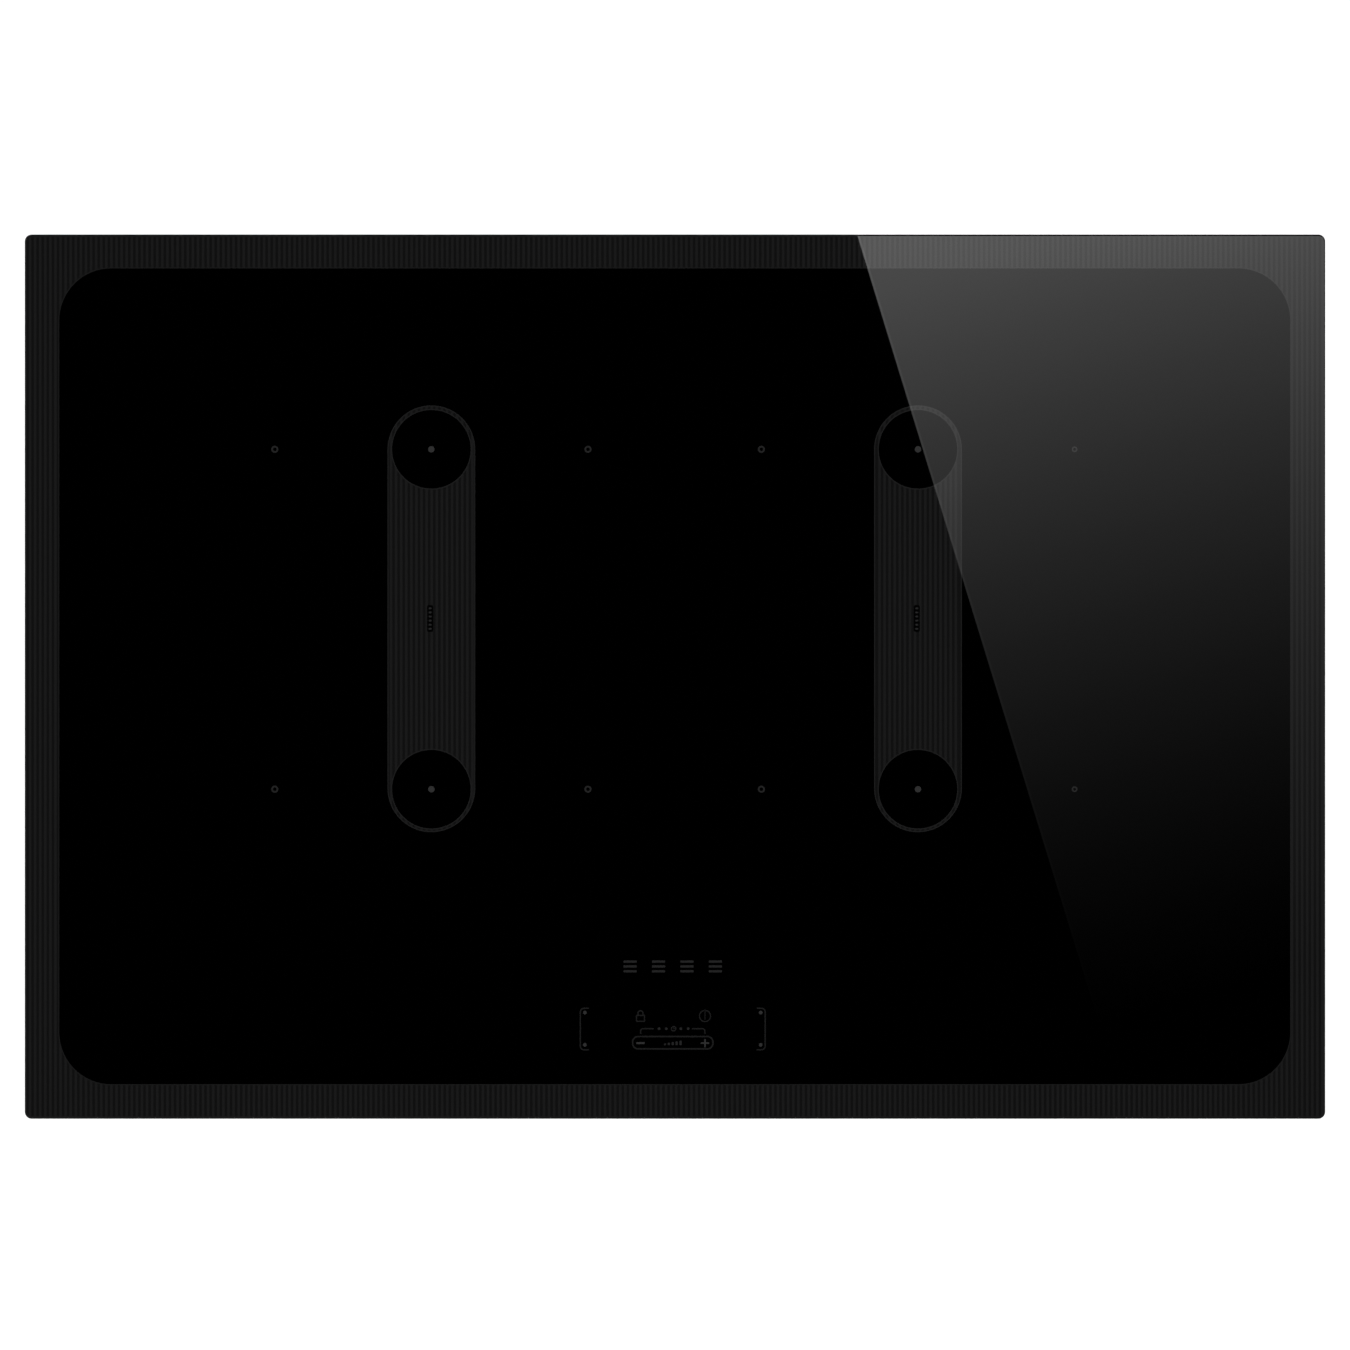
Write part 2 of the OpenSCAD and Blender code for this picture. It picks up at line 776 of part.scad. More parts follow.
// The hinged cover over the window in the rear wall, with two latch prongs
module terminal_cover() {
    color("#ded9cc") {
        difference() {
            box_at(cover_x0, half_d + 0.05, cover_z0, cover_w, cover_t, cover_h);
            for (x = ear_starts())
                box_at(x - 0.3, half_d - 1, cover_z0 - 1, knuckle_l + 0.6, 5, 2.6);
            translate([0, hinge_y, hinge_z]) rotate([0, 90, 0])
                cylinder(r = pin_r + running, h = term_x + term_w);
        }
        for (x = [cover_x0 + 16, cover_x0 + cover_w - 22])
            box_at(x, half_d - 3.5, 21.3, 6, 3.6, 1.2);
        knuckles([cover_starts()[0]], pin_r + running, knuckle_l - 0.8);
        knuckles([cover_starts()[1]], pin_r + running, cover_w - 4 * knuckle_l - 0.6);
        knuckles([cover_starts()[2]], pin_r + running, knuckle_l - 0.8);
    }
}

module hinge_pin() {
    color("#c9ccce")
    translate([cover_x0, hinge_y, hinge_z]) rotate([0, 90, 0]) cylinder(r = pin_r, h = cover_w);
}

// Cable gland through the rear wall, its hex nut and the two jaws of the cord clamp
module cable_gland() {
    jaw_y = rear_in - 24;
    color("#27282a") {
        translate([gland_x, rear_in - gland_in, gland_z]) rotate([-90, 0, 0]) difference() {
            union() {
                cylinder(r = gland_r + 2, h = gland_in + sheet_t + eps);
                translate([0, 0, gland_in + sheet_t]) cylinder(r = gland_r + 3.8, h = 2.5);
            }
            translate([0, 0, -cut]) cylinder(r = gland_r, h = gland_in + sheet_t + 2.5 + 2 * cut);
        }
        translate([gland_x, rear_in - 4, gland_z]) rotate([-90, 0, 0]) difference() {
            cylinder(r = gland_r + 4.2, h = 4, $fn = 6);
            translate([0, 0, -cut]) cylinder(r = gland_r + 2.05, h = 4 + 2 * cut);
        }
        for (z = [term_z + term_wall, gland_z + gland_r])
            box_at(gland_x - 11, jaw_y, z, 22, 8, z < gland_z ? gland_z - gland_r - z : 3.5);
    }
}

// ---- touch controls --------------------------------------------------------------------------

key_places = [
    [-key_dx, key_row_back], [key_dx, key_row_back],
    [-key_dx, key_row_front], [0, key_row_front], [key_dx, key_row_front]
];

module touch_board() {
    color("#1f6b3a")
    translate([control_x, touch_y, touch_z]) linear_extrude(board_t)
        square([touch_w, touch_d], center = true);
}

// The moulded tray that presses the touch board up to the glass, on four legs
module touch_holder() {
    w = touch_w + 2 * holder_wall + 1;
    d = touch_d + 2 * holder_wall + 1;
    color("#e8e6df")
    translate([control_x, touch_y, 0]) {
        difference() {
            box_at(-w / 2, -d / 2, holder_z, w, d, glass_z - 3 - holder_z);
            box_at(-w / 2 + holder_wall, -d / 2 + holder_wall, holder_z + holder_wall,
                   w - 2 * holder_wall, d - 2 * holder_wall, 20);
            box_at(-w / 2 + 20, d / 2 - 3, holder_z + holder_wall, 24, 6, 20);
        }
        for (x = [-1, 1], y = [-1, 1]) {
            post_at(x * (w / 2 - 8), y * (d / 2 - 7), sheet_t, 3.5, holder_z - sheet_t);
            post_at(x * (w / 2 - 8), y * (d / 2 - 7), holder_z + holder_wall, 3, touch_z - holder_z - holder_wall);
        }
    }
}

// Sensor springs between the touch board and the glass, one for each key
module touch_springs() {
    color("#d6b25a")
    for (p = key_places)
        translate([control_x + p[0], p[1], 0]) spring(3.4, 0.4, touch_z + board_t, glass_z, 3);
}

// Lamps with short light guides at the ends of the control group
module indicator_lamps() {
    color("#f0f0ea")
    for (x = [-lamp_dx, lamp_dx], y = [key_row_back + 2, key_row_front - 1]) {
        translate([control_x + x - 2, y - 2, touch_z + board_t]) cube([4, 4, 1.6]);
        post_at(control_x + x, y, touch_z + board_t + 1.6, 1.4, glass_z - touch_z - board_t - 1.6);
    }
}

// ---- worktop clamps and fasteners ------------------------------------------------------------

// A swivel clamp lying in its notch, its tip towards the middle of the cooktop
module clamp(corner) {
    sx = sign_x(corner);
    color("#b4b8bb")
    translate([sx * clamp_x, sign_y(corner) * clamp_y, clamp_z]) difference() {
        union() {
            cylinder(r = clamp_r, h = clamp_t);
            translate([sx > 0 ? -clamp_l : 0, -clamp_r, 0]) cube([clamp_l, 2 * clamp_r, clamp_t]);
            translate([sx > 0 ? -clamp_l : clamp_l - clamp_t, -clamp_r, 0])
                cube([clamp_t, 2 * clamp_r, clamp_t + 1.5]);
        }
        translate([0, 0, -cut]) cylinder(r = clamp_screw_r + running, h = clamp_t + 2 * cut);
    }
}

// Casing screws in the four walls, clamp screws and terminal screws
module fasteners() {
    color("#d4d6d8") {
        for (s = [-1, 1], y = side_screws)
            on_side(s) translate([half_w, y, casing_screw_z]) rotate([0, 90, 0]) screw(3.6, 1.8, casing_screw_r, 6);
        for (x = end_screws)
            translate([x, half_d, casing_screw_z]) rotate([-90, 0, 0]) screw(3.6, 1.8, casing_screw_r, 6);
        for (x = end_screws)
            translate([x, -half_d, casing_screw_z]) rotate([90, 0, 0]) screw(3.6, 1.8, casing_screw_r, 6);
        for (x = [-1, 1], y = [-1, 1])
            translate([x * clamp_x, y * clamp_y, clamp_z - 0.3]) rotate([180, 0, 0])
                screw(4.2, 2.6, clamp_screw_r, 24);
        for (i = [0:4])
            translate([window_x0 + 13 + i * 12, rear_in - term_d + term_wall + 13, term_z + term_wall + 11])
                rotate([-90, 0, 0]) cylinder(r = 2.4, h = 1.5);
    }
}

// ---- wiring ----------------------------------------------------------------------------------

mains_path = [
    [148, 206.7, 20], [148, 200, 20], [146, 192, 19], [132, 184, 18], [112, 182, 16], [98, 180, 14], [93, 178, 10]
];
feed_path = [[40, 0, 10], [40, 0, 14], [40, 6, 18], [40, 20, 19], [40, 34, 18], [40, 40, 14], [40, 40, 10]];
fan_lead_path = [[228, -116, 20], [234, -110, 20], [238, -98, 16], [238, -88, 12], [238, -84, 9]];

// Mains loom, board feeds, fan leads, coil leads and the ribbon of the touch board
module wiring() {
    color("#b03a2e") tube(mains_path, 2.6);
    color("#33557f")
    for (s = [-1, 1])
        on_side(s) {
            translate([0, 103, 0]) tube(feed_path, 2);
            tube(fan_lead_path, 1.2, 6);
        }
    color("#c98a4b")
    for (corner = corners)
        at_corner_zone(corner) for (s = [-1, 1])
            post_at(s * lead_at, 0, board_top + 19.6, 1.6, plate_top + 6 - board_top - 19.6);
    color("#9aa0a6")
    translate([-53, 0, 0]) rotate([90, 0, 90]) linear_extrude(20) polygon([
        [touch_y + touch_d / 2 - 6, touch_z - 1], [touch_y + touch_d / 2 + 8, touch_z - 1],
        [touch_y + touch_d / 2 + 8, 12], [board_y0 + 4, board_top], [board_y0 + 6, board_top],
        [touch_y + touch_d / 2 + 9, 13], [touch_y + touch_d / 2 + 9, touch_z], [touch_y + touch_d / 2 - 6, touch_z]
    ]);
}

// ---- nodes -----------------------------------------------------------------------------------

glass_top();
bond_bead();
rim_gasket();
support_frame();
base_tray();
coil_plate();
spring_posts();
zone_sensors();
standoffs();
coil_carrier("front_left");  // coil_carrier_front_left
coil_carrier("front_right");  // coil_carrier_front_right
coil_carrier("back_left");  // coil_carrier_back_left
coil_carrier("back_right");  // coil_carrier_back_right
winding("front_left");  // winding_front_left
winding("front_right");  // winding_front_right
winding("back_left");  // winding_back_left
winding("back_right");  // winding_back_right
ferrites("front_left");  // ferrites_front_left
ferrites("front_right");  // ferrites_front_right
ferrites("back_left");  // ferrites_back_left
ferrites("back_right");  // ferrites_back_right
mica("front_left");  // mica_front_left
mica("front_right");  // mica_front_right
mica("back_left");  // mica_back_left
mica("back_right");  // mica_back_right
coil_springs("front_left");  // coil_springs_front_left
coil_springs("front_right");  // coil_springs_front_right
coil_springs("back_left");  // coil_springs_back_left
coil_springs("back_right");  // coil_springs_back_right
power_board(-1);  // power_board_left
power_board(1);  // power_board_right
heat_sink(-1);  // heat_sink_left
heat_sink(1);  // heat_sink_right
power_devices();
capacitors();
chokes();
blower_housing(-1);  // blower_housing_left
blower_housing(1);  // blower_housing_right
impeller(-1);  // impeller_left
impeller(1);  // impeller_right
fan_motor(-1);  // fan_motor_left
fan_motor(1);  // fan_motor_right
filter_board();
filter_parts();
terminal_box();
terminal_block();
terminal_cover();
hinge_pin();
cable_gland();
touch_board();
touch_holder();
touch_springs();
indicator_lamps();
clamp("front_left");  // clamp_front_left
clamp("front_right");  // clamp_front_right
clamp("back_left");  // clamp_back_left
clamp("back_right");  // clamp_back_right
fasteners();
side_clips();
wiring();
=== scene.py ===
import json
import math

import bpy
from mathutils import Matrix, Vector
from mathutils.geometry import tessellate_polygon

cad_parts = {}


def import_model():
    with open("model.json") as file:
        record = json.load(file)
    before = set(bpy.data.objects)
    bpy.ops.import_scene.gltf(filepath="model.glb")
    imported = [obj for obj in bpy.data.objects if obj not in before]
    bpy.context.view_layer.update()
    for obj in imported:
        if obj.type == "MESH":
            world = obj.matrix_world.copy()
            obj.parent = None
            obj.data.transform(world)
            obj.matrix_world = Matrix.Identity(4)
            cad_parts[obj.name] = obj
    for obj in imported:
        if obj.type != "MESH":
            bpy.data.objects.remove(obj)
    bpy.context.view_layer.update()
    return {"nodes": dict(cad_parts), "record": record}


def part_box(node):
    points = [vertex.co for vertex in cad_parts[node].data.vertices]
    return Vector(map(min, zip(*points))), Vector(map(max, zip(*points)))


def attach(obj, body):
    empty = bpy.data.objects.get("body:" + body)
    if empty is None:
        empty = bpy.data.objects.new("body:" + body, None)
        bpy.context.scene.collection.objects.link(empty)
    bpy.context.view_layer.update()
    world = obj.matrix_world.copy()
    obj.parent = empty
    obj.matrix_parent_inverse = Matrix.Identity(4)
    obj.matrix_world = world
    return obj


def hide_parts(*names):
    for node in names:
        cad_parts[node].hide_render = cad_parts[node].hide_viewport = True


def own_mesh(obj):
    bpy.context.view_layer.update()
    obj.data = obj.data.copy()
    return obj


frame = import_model()

# ---- places and sizes, in metres, worked out from the frame --------------------------------------

MM = 0.001
ROOT = "casing"
CORNERS = ("front_left", "front_right", "back_left", "back_right")


def middle(node):
    """Middle of a CAD node's box."""
    low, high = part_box(node)
    return (low + high) / 2


glass_low, glass_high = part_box("glass_top")
TOP = glass_high.z
GLASS_W = glass_high.x - glass_low.x
GLASS_D = glass_high.y - glass_low.y
ZONES = {corner: middle("coil_carrier_" + corner) for corner in CORNERS}
CONTROL = middle("touch_board")

PRINT_H = 0.02 * MM      # height of one coat of print
EDGE_X = 0.7 * MM        # bare ground edge of the glass at its ends
EDGE_Y = 0.95 * MM       # and along its front and back
WINDOW = (-0.15 * MM, 0.2 * MM)                                 # middle of the plain field
WINDOW_W, WINDOW_D = GLASS_W - 40.2 * MM, GLASS_D - 39.6 * MM
WINDOW_R = 30 * MM       # corner radius of the plain field inside the border
FLUTE_PITCH = 2.9341 * MM  # of the flutes, in the border and in the strips
BORDER_SHIFT = 0.72 * MM  # place of the border's flute nearest the middle
STRIP_SHIFT = 0.55 * MM  # the same for the strips
FLUTE_W = 0.5 * FLUTE_PITCH
OUTLINE_W = 0.55 * MM    # line along both edges of the border
STRIP_R = 25.3 * MM      # half width of a zone strip
STRIP_END = 0.5 * MM     # the front end of a strip stops this much short of its disc's middle
DISC_R = 22.65 * MM      # plain disc at each end of a strip
PRINT_X = -0.2 * MM      # the inner print sits this far off the plate's middle
LADDER_SHIFT = (-0.7 * MM, 0.4 * MM)  # from a strip's middle to its ladder mark
DOT_R = 1.83 * MM        # zone-centre dot
LIMIT_R = 2.05 * MM      # rings at the sides of a zone
SMALL_LIMIT_R = 1.65 * MM  # the two rings at the right end
ZONE_R = 90.3 * MM       # from a zone's middle to its two limit rings
SPRING_CIRCLE = 80 * MM  # from a coil's middle to its springs
SPRING_ANGLES = (90, 225, 315)


# ---- shader building -----------------------------------------------------------------------------

class Shader:
    """A Principled material and the texture nodes that drive it."""

    def __init__(self, name, color, roughness=0.5, metallic=0.0, specular=0.5):
        self.material = bpy.data.materials.new(name)
        self.material.use_nodes = True
        self.tree = self.material.node_tree
        self.bsdf = self.tree.nodes["Principled BSDF"]
        self.coords = self.tree.nodes.new("ShaderNodeTexCoord")
        self.set("Base Color", (*color, 1.0))
        self.set("Roughness", roughness)
        self.set("Metallic", metallic)
        self.set("IOR", 1.5)
        self.set("Specular IOR Level", specular)

    def set(self, socket, value):
        self.feed(self.bsdf, socket, value)

    def feed(self, node, socket, value):
        if isinstance(value, bpy.types.NodeSocket):
            self.tree.links.new(value, node.inputs[socket])
        else:
            node.inputs[socket].default_value = value

    def place(self, stretch=(1, 1, 1), turn=(0, 0, 0), source="Object"):
        node = self.tree.nodes.new("ShaderNodeMapping")
        self.feed(node, "Vector", self.coords.outputs[source])
        self.feed(node, "Scale", stretch)
        self.feed(node, "Rotation", turn)
        return node.outputs[0]

    def noise(self, scale, detail=3.0, rough=0.5, at=None, distortion=0.0):
        node = self.tree.nodes.new("ShaderNodeTexNoise")
        self.feed(node, "Vector", at or self.coords.outputs["Object"])
        self.feed(node, "Scale", scale)
        self.feed(node, "Detail", detail)
        self.feed(node, "Roughness", rough)
        self.feed(node, "Distortion", distortion)
        return node.outputs[0]

    def cells(self, scale, output="Distance", at=None):
        node = self.tree.nodes.new("ShaderNodeTexVoronoi")
        self.feed(node, "Vector", at or self.coords.outputs["Object"])
        self.feed(node, "Scale", scale)
        return node.outputs[output]

    def wave(self, scale, at=None, distortion=0.0, direction="X"):
        node = self.tree.nodes.new("ShaderNodeTexWave")
        node.bands_direction = direction
        self.feed(node, "Vector", at or self.coords.outputs["Object"])
        self.feed(node, "Scale", scale)
        self.feed(node, "Distortion", distortion)
        self.feed(node, "Detail", 2.0)
        return node.outputs["Fac"]

    def bricks(self, scale, width, mortar, at):
        """1 on the joints of a running bond, 0 between them."""
        node = self.tree.nodes.new("ShaderNodeTexBrick")
        self.feed(node, "Vector", at)
        self.feed(node, "Scale", scale)
        self.feed(node, "Brick Width", width)
        self.feed(node, "Mortar Size", mortar)
        self.feed(node, "Mortar Smooth", 0.1)
        return node.outputs["Fac"]

    def span(self, factor, low, high, start=0.0, end=1.0):
        """Spreads factor from start..end to low..high."""
        node = self.tree.nodes.new("ShaderNodeMapRange")
        for socket, value in (("Value", factor), ("From Min", start), ("From Max", end),
                              ("To Min", low), ("To Max", high)):
            self.feed(node, socket, value)
        return node.outputs[0]

    def math(self, operation, a, b=0.0):
        node = self.tree.nodes.new("ShaderNodeMath")
        node.operation = operation
        self.feed(node, 0, a)
        self.feed(node, 1, b)
        return node.outputs[0]

    def mix(self, factor, a, b):
        node = self.tree.nodes.new("ShaderNodeMix")
        node.data_type = "RGBA"
        sockets = {s.identifier: s for s in node.inputs}
        self.tree.links.new(factor, sockets["Factor_Float"])
        for name, value in (("A_Color", a), ("B_Color", b)):
            if isinstance(value, bpy.types.NodeSocket):
                self.tree.links.new(value, sockets[name])
            else:
                sockets[name].default_value = (*value, 1.0)
        return next(s for s in node.outputs if s.identifier == "Result_Color")

    def bump(self, height, distance, strength=1.0):
        """Distance is the relief's height in metres."""
        node = self.tree.nodes.new("ShaderNodeBump")
        self.feed(node, "Height", height)
        self.feed(node, "Distance", distance)
        self.feed(node, "Strength", strength)
        self.set("Normal", node.outputs[0])


def shade(color, factor):
    return tuple(min(1.0, c * factor) for c in color)


def grey(level):
    return (level, level, level * 1.01)


# ---- materials -----------------------------------------------------------------------------------

def black_glass():
    s = Shader("black_glass_ceramic", (0.00004, 0.00004, 0.00004), roughness=0.01)
    s.set("Roughness", s.span(s.noise(9, 4), 0.004, 0.01))
    return s.material


def ground_edge():
    s = Shader("ground_glass_edge", (0.0006, 0.0006, 0.0006), roughness=0.4, specular=0.08)
    s.set("Roughness", s.span(s.noise(900, 3), 0.3, 0.5))
    s.bump(s.noise(2500, 2), 0.01 * MM, 0.5)
    return s.material


def print_coat(name, level, specular=0.68):
    """A fired ceramic print with the faint grain of its screen."""
    s = Shader(name, grey(level), roughness=0.01, specular=specular)
    grain = s.noise(2600, 2, 0.6)
    s.set("Base Color", s.mix(grain, grey(level * 0.96), grey(level * 1.04)))
    s.set("Roughness", s.span(s.noise(400, 2), 0.006, 0.012))
    return s.material


def galvanised_sheet(name, color):
    """Spangled zinc: large crystals of slightly different tone and gloss, with rolling streaks."""
    s = Shader(name, color, roughness=0.38, metallic=1.0)
    crystal = s.cells(85, output="Color")
    streak = s.noise(30, 4, 0.6, at=s.place(stretch=(0.25, 9, 9)))
    tone = s.span(crystal, 0.0, 1.0)
    s.set("Base Color", s.mix(s.math("MULTIPLY_ADD", tone, 0.5), shade(color, 0.8), shade(color, 1.12)))
    s.set("Roughness", s.span(s.math("ADD", crystal, streak), 0.28, 0.52, 0.2, 1.6))
    s.bump(streak, 0.015 * MM, 0.4)
    return s.material


def brushed_metal(name, color, rough=0.32, stretch=(2, 60, 60), scale=40):
    s = Shader(name, color, roughness=rough, metallic=1.0)
    lines = s.noise(scale, 5, 0.65, at=s.place(stretch=stretch))
    patch = s.noise(18, 3)
    s.set("Base Color", s.mix(lines, shade(color, 0.86), shade(color, 1.1)))
    s.set("Roughness", s.span(s.math("ADD", lines, patch), rough - 0.1, rough + 0.14, 0.5, 1.5))
    s.bump(lines, 0.01 * MM, 0.5)
    return s.material


def plated_metal(name, color, rough=0.3):
    """Zinc plating: fine grain and cloudy patches."""
    s = Shader(name, color, roughness=rough, metallic=1.0)
    cloud = s.noise(60, 4, 0.6)
    grain = s.noise(1800, 2)
    s.set("Base Color", s.mix(cloud, shade(color, 0.85), shade(color, 1.1)))
    s.set("Roughness", s.span(cloud, rough - 0.08, rough + 0.12))
    s.bump(grain, 0.004 * MM, 0.6)
    return s.material


def moulded_plastic(name, color, rough=0.5, grain=0.02, scale=1500):
    """Fine spark-eroded texture with a faint flow pattern in the colour."""
    s = Shader(name, color, roughness=rough)
    flow = s.noise(35, 3, 0.5, distortion=0.6)
    s.set("Base Color", s.mix(flow, shade(color, 0.93), shade(color, 1.06)))
    s.set("Roughness", s.span(s.noise(scale * 0.5, 3), rough - 0.06, rough + 0.08))
    s.bump(s.noise(scale, 3, 0.6), grain * MM, 0.7)
    return s.material


def foam_tape():
    s = Shader("closed_cell_foam", grey(0.03), roughness=0.9)
    pores = s.cells(1400)
    # Each pore is darker towards its middle, where the bump below sinks it into a pit: that darkening is
    # painted shade in the pits.
    s.set("Base Color", s.mix(s.span(pores, 0, 1, 0, 0.6), grey(0.012), grey(0.045)))
    s.bump(pores, 0.15 * MM, 0.9)
    return s.material


def silicone(name, color):
    s = Shader(name, color, roughness=0.45)
    wave = s.noise(120, 3, 0.5)
    s.set("Base Color", s.mix(wave, shade(color, 0.85), shade(color, 1.15)))
    s.set("Roughness", s.span(s.noise(300, 2), 0.35, 0.55))
    s.bump(wave, 0.1 * MM, 0.5)
    return s.material


def circuit_board():
    """Solder mask over straight copper tracks that run both ways, with a scatter of plated holes."""
    mask = (0.01, 0.085, 0.03)
    s = Shader("solder_mask_green", mask, roughness=0.3)
    flat = s.place(stretch=(1, 1, 0))
    along = s.bricks(60, 0.45, 0.03, flat)
    across = s.bricks(45, 0.6, 0.03, s.place(stretch=(1, 1, 0), turn=(0, 0, math.radians(90))))
    track = s.math("MAXIMUM", along, across)
    holes = s.cells(260, at=flat)
    hole = s.span(holes, 1.0, 0.0, 0.08, 0.12)
    base = s.mix(track, mask, (0.03, 0.19, 0.07))
    s.set("Base Color", s.mix(hole, base, (0.55, 0.48, 0.3)))
    s.set("Roughness", s.span(s.noise(200, 2), 0.22, 0.38))
    s.bump(track, 0.03 * MM, 0.8)
    return s.material


def ferrite_ceramic():
    s = Shader("sintered_ferrite", grey(0.045), roughness=0.6)
    speck = s.noise(2200, 3, 0.7)
    s.set("Base Color", s.mix(speck, grey(0.028), grey(0.075)))
    s.set("Roughness", s.span(s.noise(500, 2), 0.5, 0.75))
    s.bump(speck, 0.03 * MM, 0.6)
    return s.material


def mica_sheet():
    s = Shader("pressed_mica", (0.5, 0.44, 0.33), roughness=0.4)
    flakes = s.cells(260, output="Color")
    sheen = s.noise(80, 4, 0.6)
    s.set("Base Color", s.mix(flakes, (0.42, 0.36, 0.26), (0.6, 0.54, 0.42)))
    s.set("Roughness", s.span(sheen, 0.25, 0.55))
    s.bump(flakes, 0.02 * MM, 0.5)
    return s.material


def litz_wire():
    """Stranded copper: fine slanting strands round the wire, which its own map follows."""
    s = Shader("litz_copper", (0.62, 0.27, 0.11), roughness=0.35, metallic=1.0)
    at = s.place(stretch=(1, 1, 1), turn=(0, 0, math.radians(38)), source="UV")
    strands = s.wave(9, at=at, distortion=0.4)
    # The colour follows the strands: copper on their crowns, darkening into the grooves between them where
    # the bump sinks. That darkening in the grooves is painted shade.
    s.set("Base Color", s.mix(strands, (0.3, 0.1, 0.035), (0.72, 0.34, 0.15)))
    s.set("Roughness", s.span(strands, 0.45, 0.25))
    s.bump(strands, 0.12 * MM, 0.9)
    return s.material


def wound_copper(name):
    s = Shader(name, (0.55, 0.24, 0.09), roughness=0.3, metallic=1.0)
    turns = s.wave(700, distortion=0.5, direction="DIAGONAL")
    # The colour follows the turns: copper on their crowns, darkening into the grooves between them where the
    # bump sinks. That darkening in the grooves is painted shade.
    s.set("Base Color", s.mix(turns, (0.2, 0.07, 0.02), (0.66, 0.3, 0.12)))
    s.set("Roughness", s.span(turns, 0.4, 0.22))
    s.bump(turns, 0.25 * MM, 0.8)
    return s.material


def clear_guide():
    s = Shader("frosted_light_guide", (0.82, 0.82, 0.78), roughness=0.25)
    s.set("Roughness", s.span(s.noise(600, 3), 0.15, 0.4))
    s.set("Transmission Weight", 0.6)
    s.bump(s.noise(900, 2), 0.01 * MM, 0.5)
    return s.material


def label_foil():
    """Plain pale foil with a faint sheen."""
    s = Shader("blank_label_foil", (0.62, 0.62, 0.6), roughness=0.35)
    s.set("Base Color", s.mix(s.noise(50, 3), (0.58, 0.58, 0.56), (0.66, 0.66, 0.64)))
    s.set("Roughness", s.span(s.noise(700, 2), 0.28, 0.42))
    return s.material


# Grey levels of the print coats, in linear reflectance
INK_BLACK = 0.0008
INK_BASE = 0.0074
INK_FLUTE = 0.0139
INK_OUTLINE = 0.017
INK_FAINT = 0.0158
INK_SOFT = 0.023
INK_CLEAR = 0.0385

GLASS = black_glass()
EDGE_GLASS = ground_edge()
# each coat's material and the slot it belongs to
COATS = {
    "base": (print_coat("print_base", INK_BASE, 0.635), "print_grey"),
    "flute": (print_coat("print_flute", INK_FLUTE, 0.7), "print_grey"),
    "outline": (print_coat("print_outline", INK_OUTLINE, 0.7), "print_grey"),
    "faint": (print_coat("print_faint", INK_FAINT), "print_grey"),
    "soft": (print_coat("print_soft", INK_SOFT), "print_line"),
    "clear": (print_coat("print_clear", INK_CLEAR), "print_line"),
    "black": (print_coat("print_black", INK_BLACK), "glass_black"),
}

MATERIALS = {
    "glass_black": GLASS,
    "silicone": silicone("bond_silicone", grey(0.05)),
    "foam": foam_tape(),
    "frame_steel": plated_metal("frame_zinc", (0.42, 0.43, 0.44), 0.42),
    "galvanised_steel": galvanised_sheet("casing_zinc", (0.54, 0.55, 0.56)),
    "plate_aluminium": brushed_metal("mill_aluminium", (0.78, 0.78, 0.79)),
    "bright_steel": plated_metal("bright_zinc", (0.7, 0.7, 0.69), 0.26),
    "spring_steel": brushed_metal("spring_steel", (0.58, 0.58, 0.57), 0.28, (60, 2, 60)),
    "clamp_steel": plated_metal("clamp_zinc", (0.62, 0.62, 0.6), 0.34),
    "sensor_silicone": silicone("sensor_silicone", (0.4, 0.07, 0.035)),
    "carrier_plastic": moulded_plastic("carrier_moulding", (0.6, 0.56, 0.47), 0.55, 0.04, 900),
    "litz_copper": litz_wire(),
    "ferrite": ferrite_ceramic(),
    "mica": mica_sheet(),
    "circuit_board": circuit_board(),
    "device_black": moulded_plastic("moulded_black", (0.018, 0.018, 0.02), 0.42),
    "capacitor_film": moulded_plastic("capacitor_case", (0.5, 0.4, 0.06), 0.3, 0.01),
    "choke_copper": wound_copper("choke_winding"),
    "filter_blue": moulded_plastic("filter_case", (0.05, 0.13, 0.32), 0.32, 0.01),
    "blower_plastic": moulded_plastic("blower_moulding", (0.045, 0.05, 0.055), 0.5, 0.03, 1100),
    "impeller_plastic": moulded_plastic("impeller_moulding", (0.025, 0.025, 0.028), 0.38),
    "motor_copper": wound_copper("motor_winding"),
    "terminal_plastic": moulded_plastic("terminal_moulding", (0.6, 0.57, 0.5), 0.48),
    "holder_plastic": moulded_plastic("holder_moulding", (0.7, 0.69, 0.64), 0.45),
    "spring_gold": plated_metal("contact_gold", (0.78, 0.55, 0.22), 0.25),
    "lamp_clear": clear_guide(),
    "wire_insulation": moulded_plastic("wire_insulation", (0.42, 0.05, 0.03), 0.35, 0.01),
    "label_white": label_foil(),
}


# ---- outlines and paths, as lists of (x, y) points -----------------------------------------------

def arc(cx, cy, r, start, end, steps):
    """Points on an arc, angles in degrees."""
    return [
        (cx + r * math.cos(math.radians(start + (end - start) * i / steps)),
         cy + r * math.sin(math.radians(start + (end - start) * i / steps)))
        for i in range(steps + 1)
    ]


def circle(cx, cy, r, steps=64):
    return arc(cx, cy, r, 0, 360, steps)[:-1]


def rounded_rect(cx, cy, w, d, r, steps=16):
    points = []
    for k, (sx, sy) in enumerate(((1, 1), (-1, 1), (-1, -1), (1, -1))):
        points += arc(cx + sx * (w / 2 - r), cy + sy * (d / 2 - r), r, 90 * k, 90 * k + 90, steps)
    return points


def capsule(cx, cy, w, d, steps=16):
    """A rectangle with fully round ends."""
    return rounded_rect(cx, cy, w, d, min(w, d) / 2 - 1e-7, steps)


def stadium(cx, low, high, r, steps=48):
    """Round ends of radius r about (cx, low) and (cx, high)."""
    return arc(cx, high, r, 0, 180, steps) + arc(cx, low, r, 180, 360, steps)


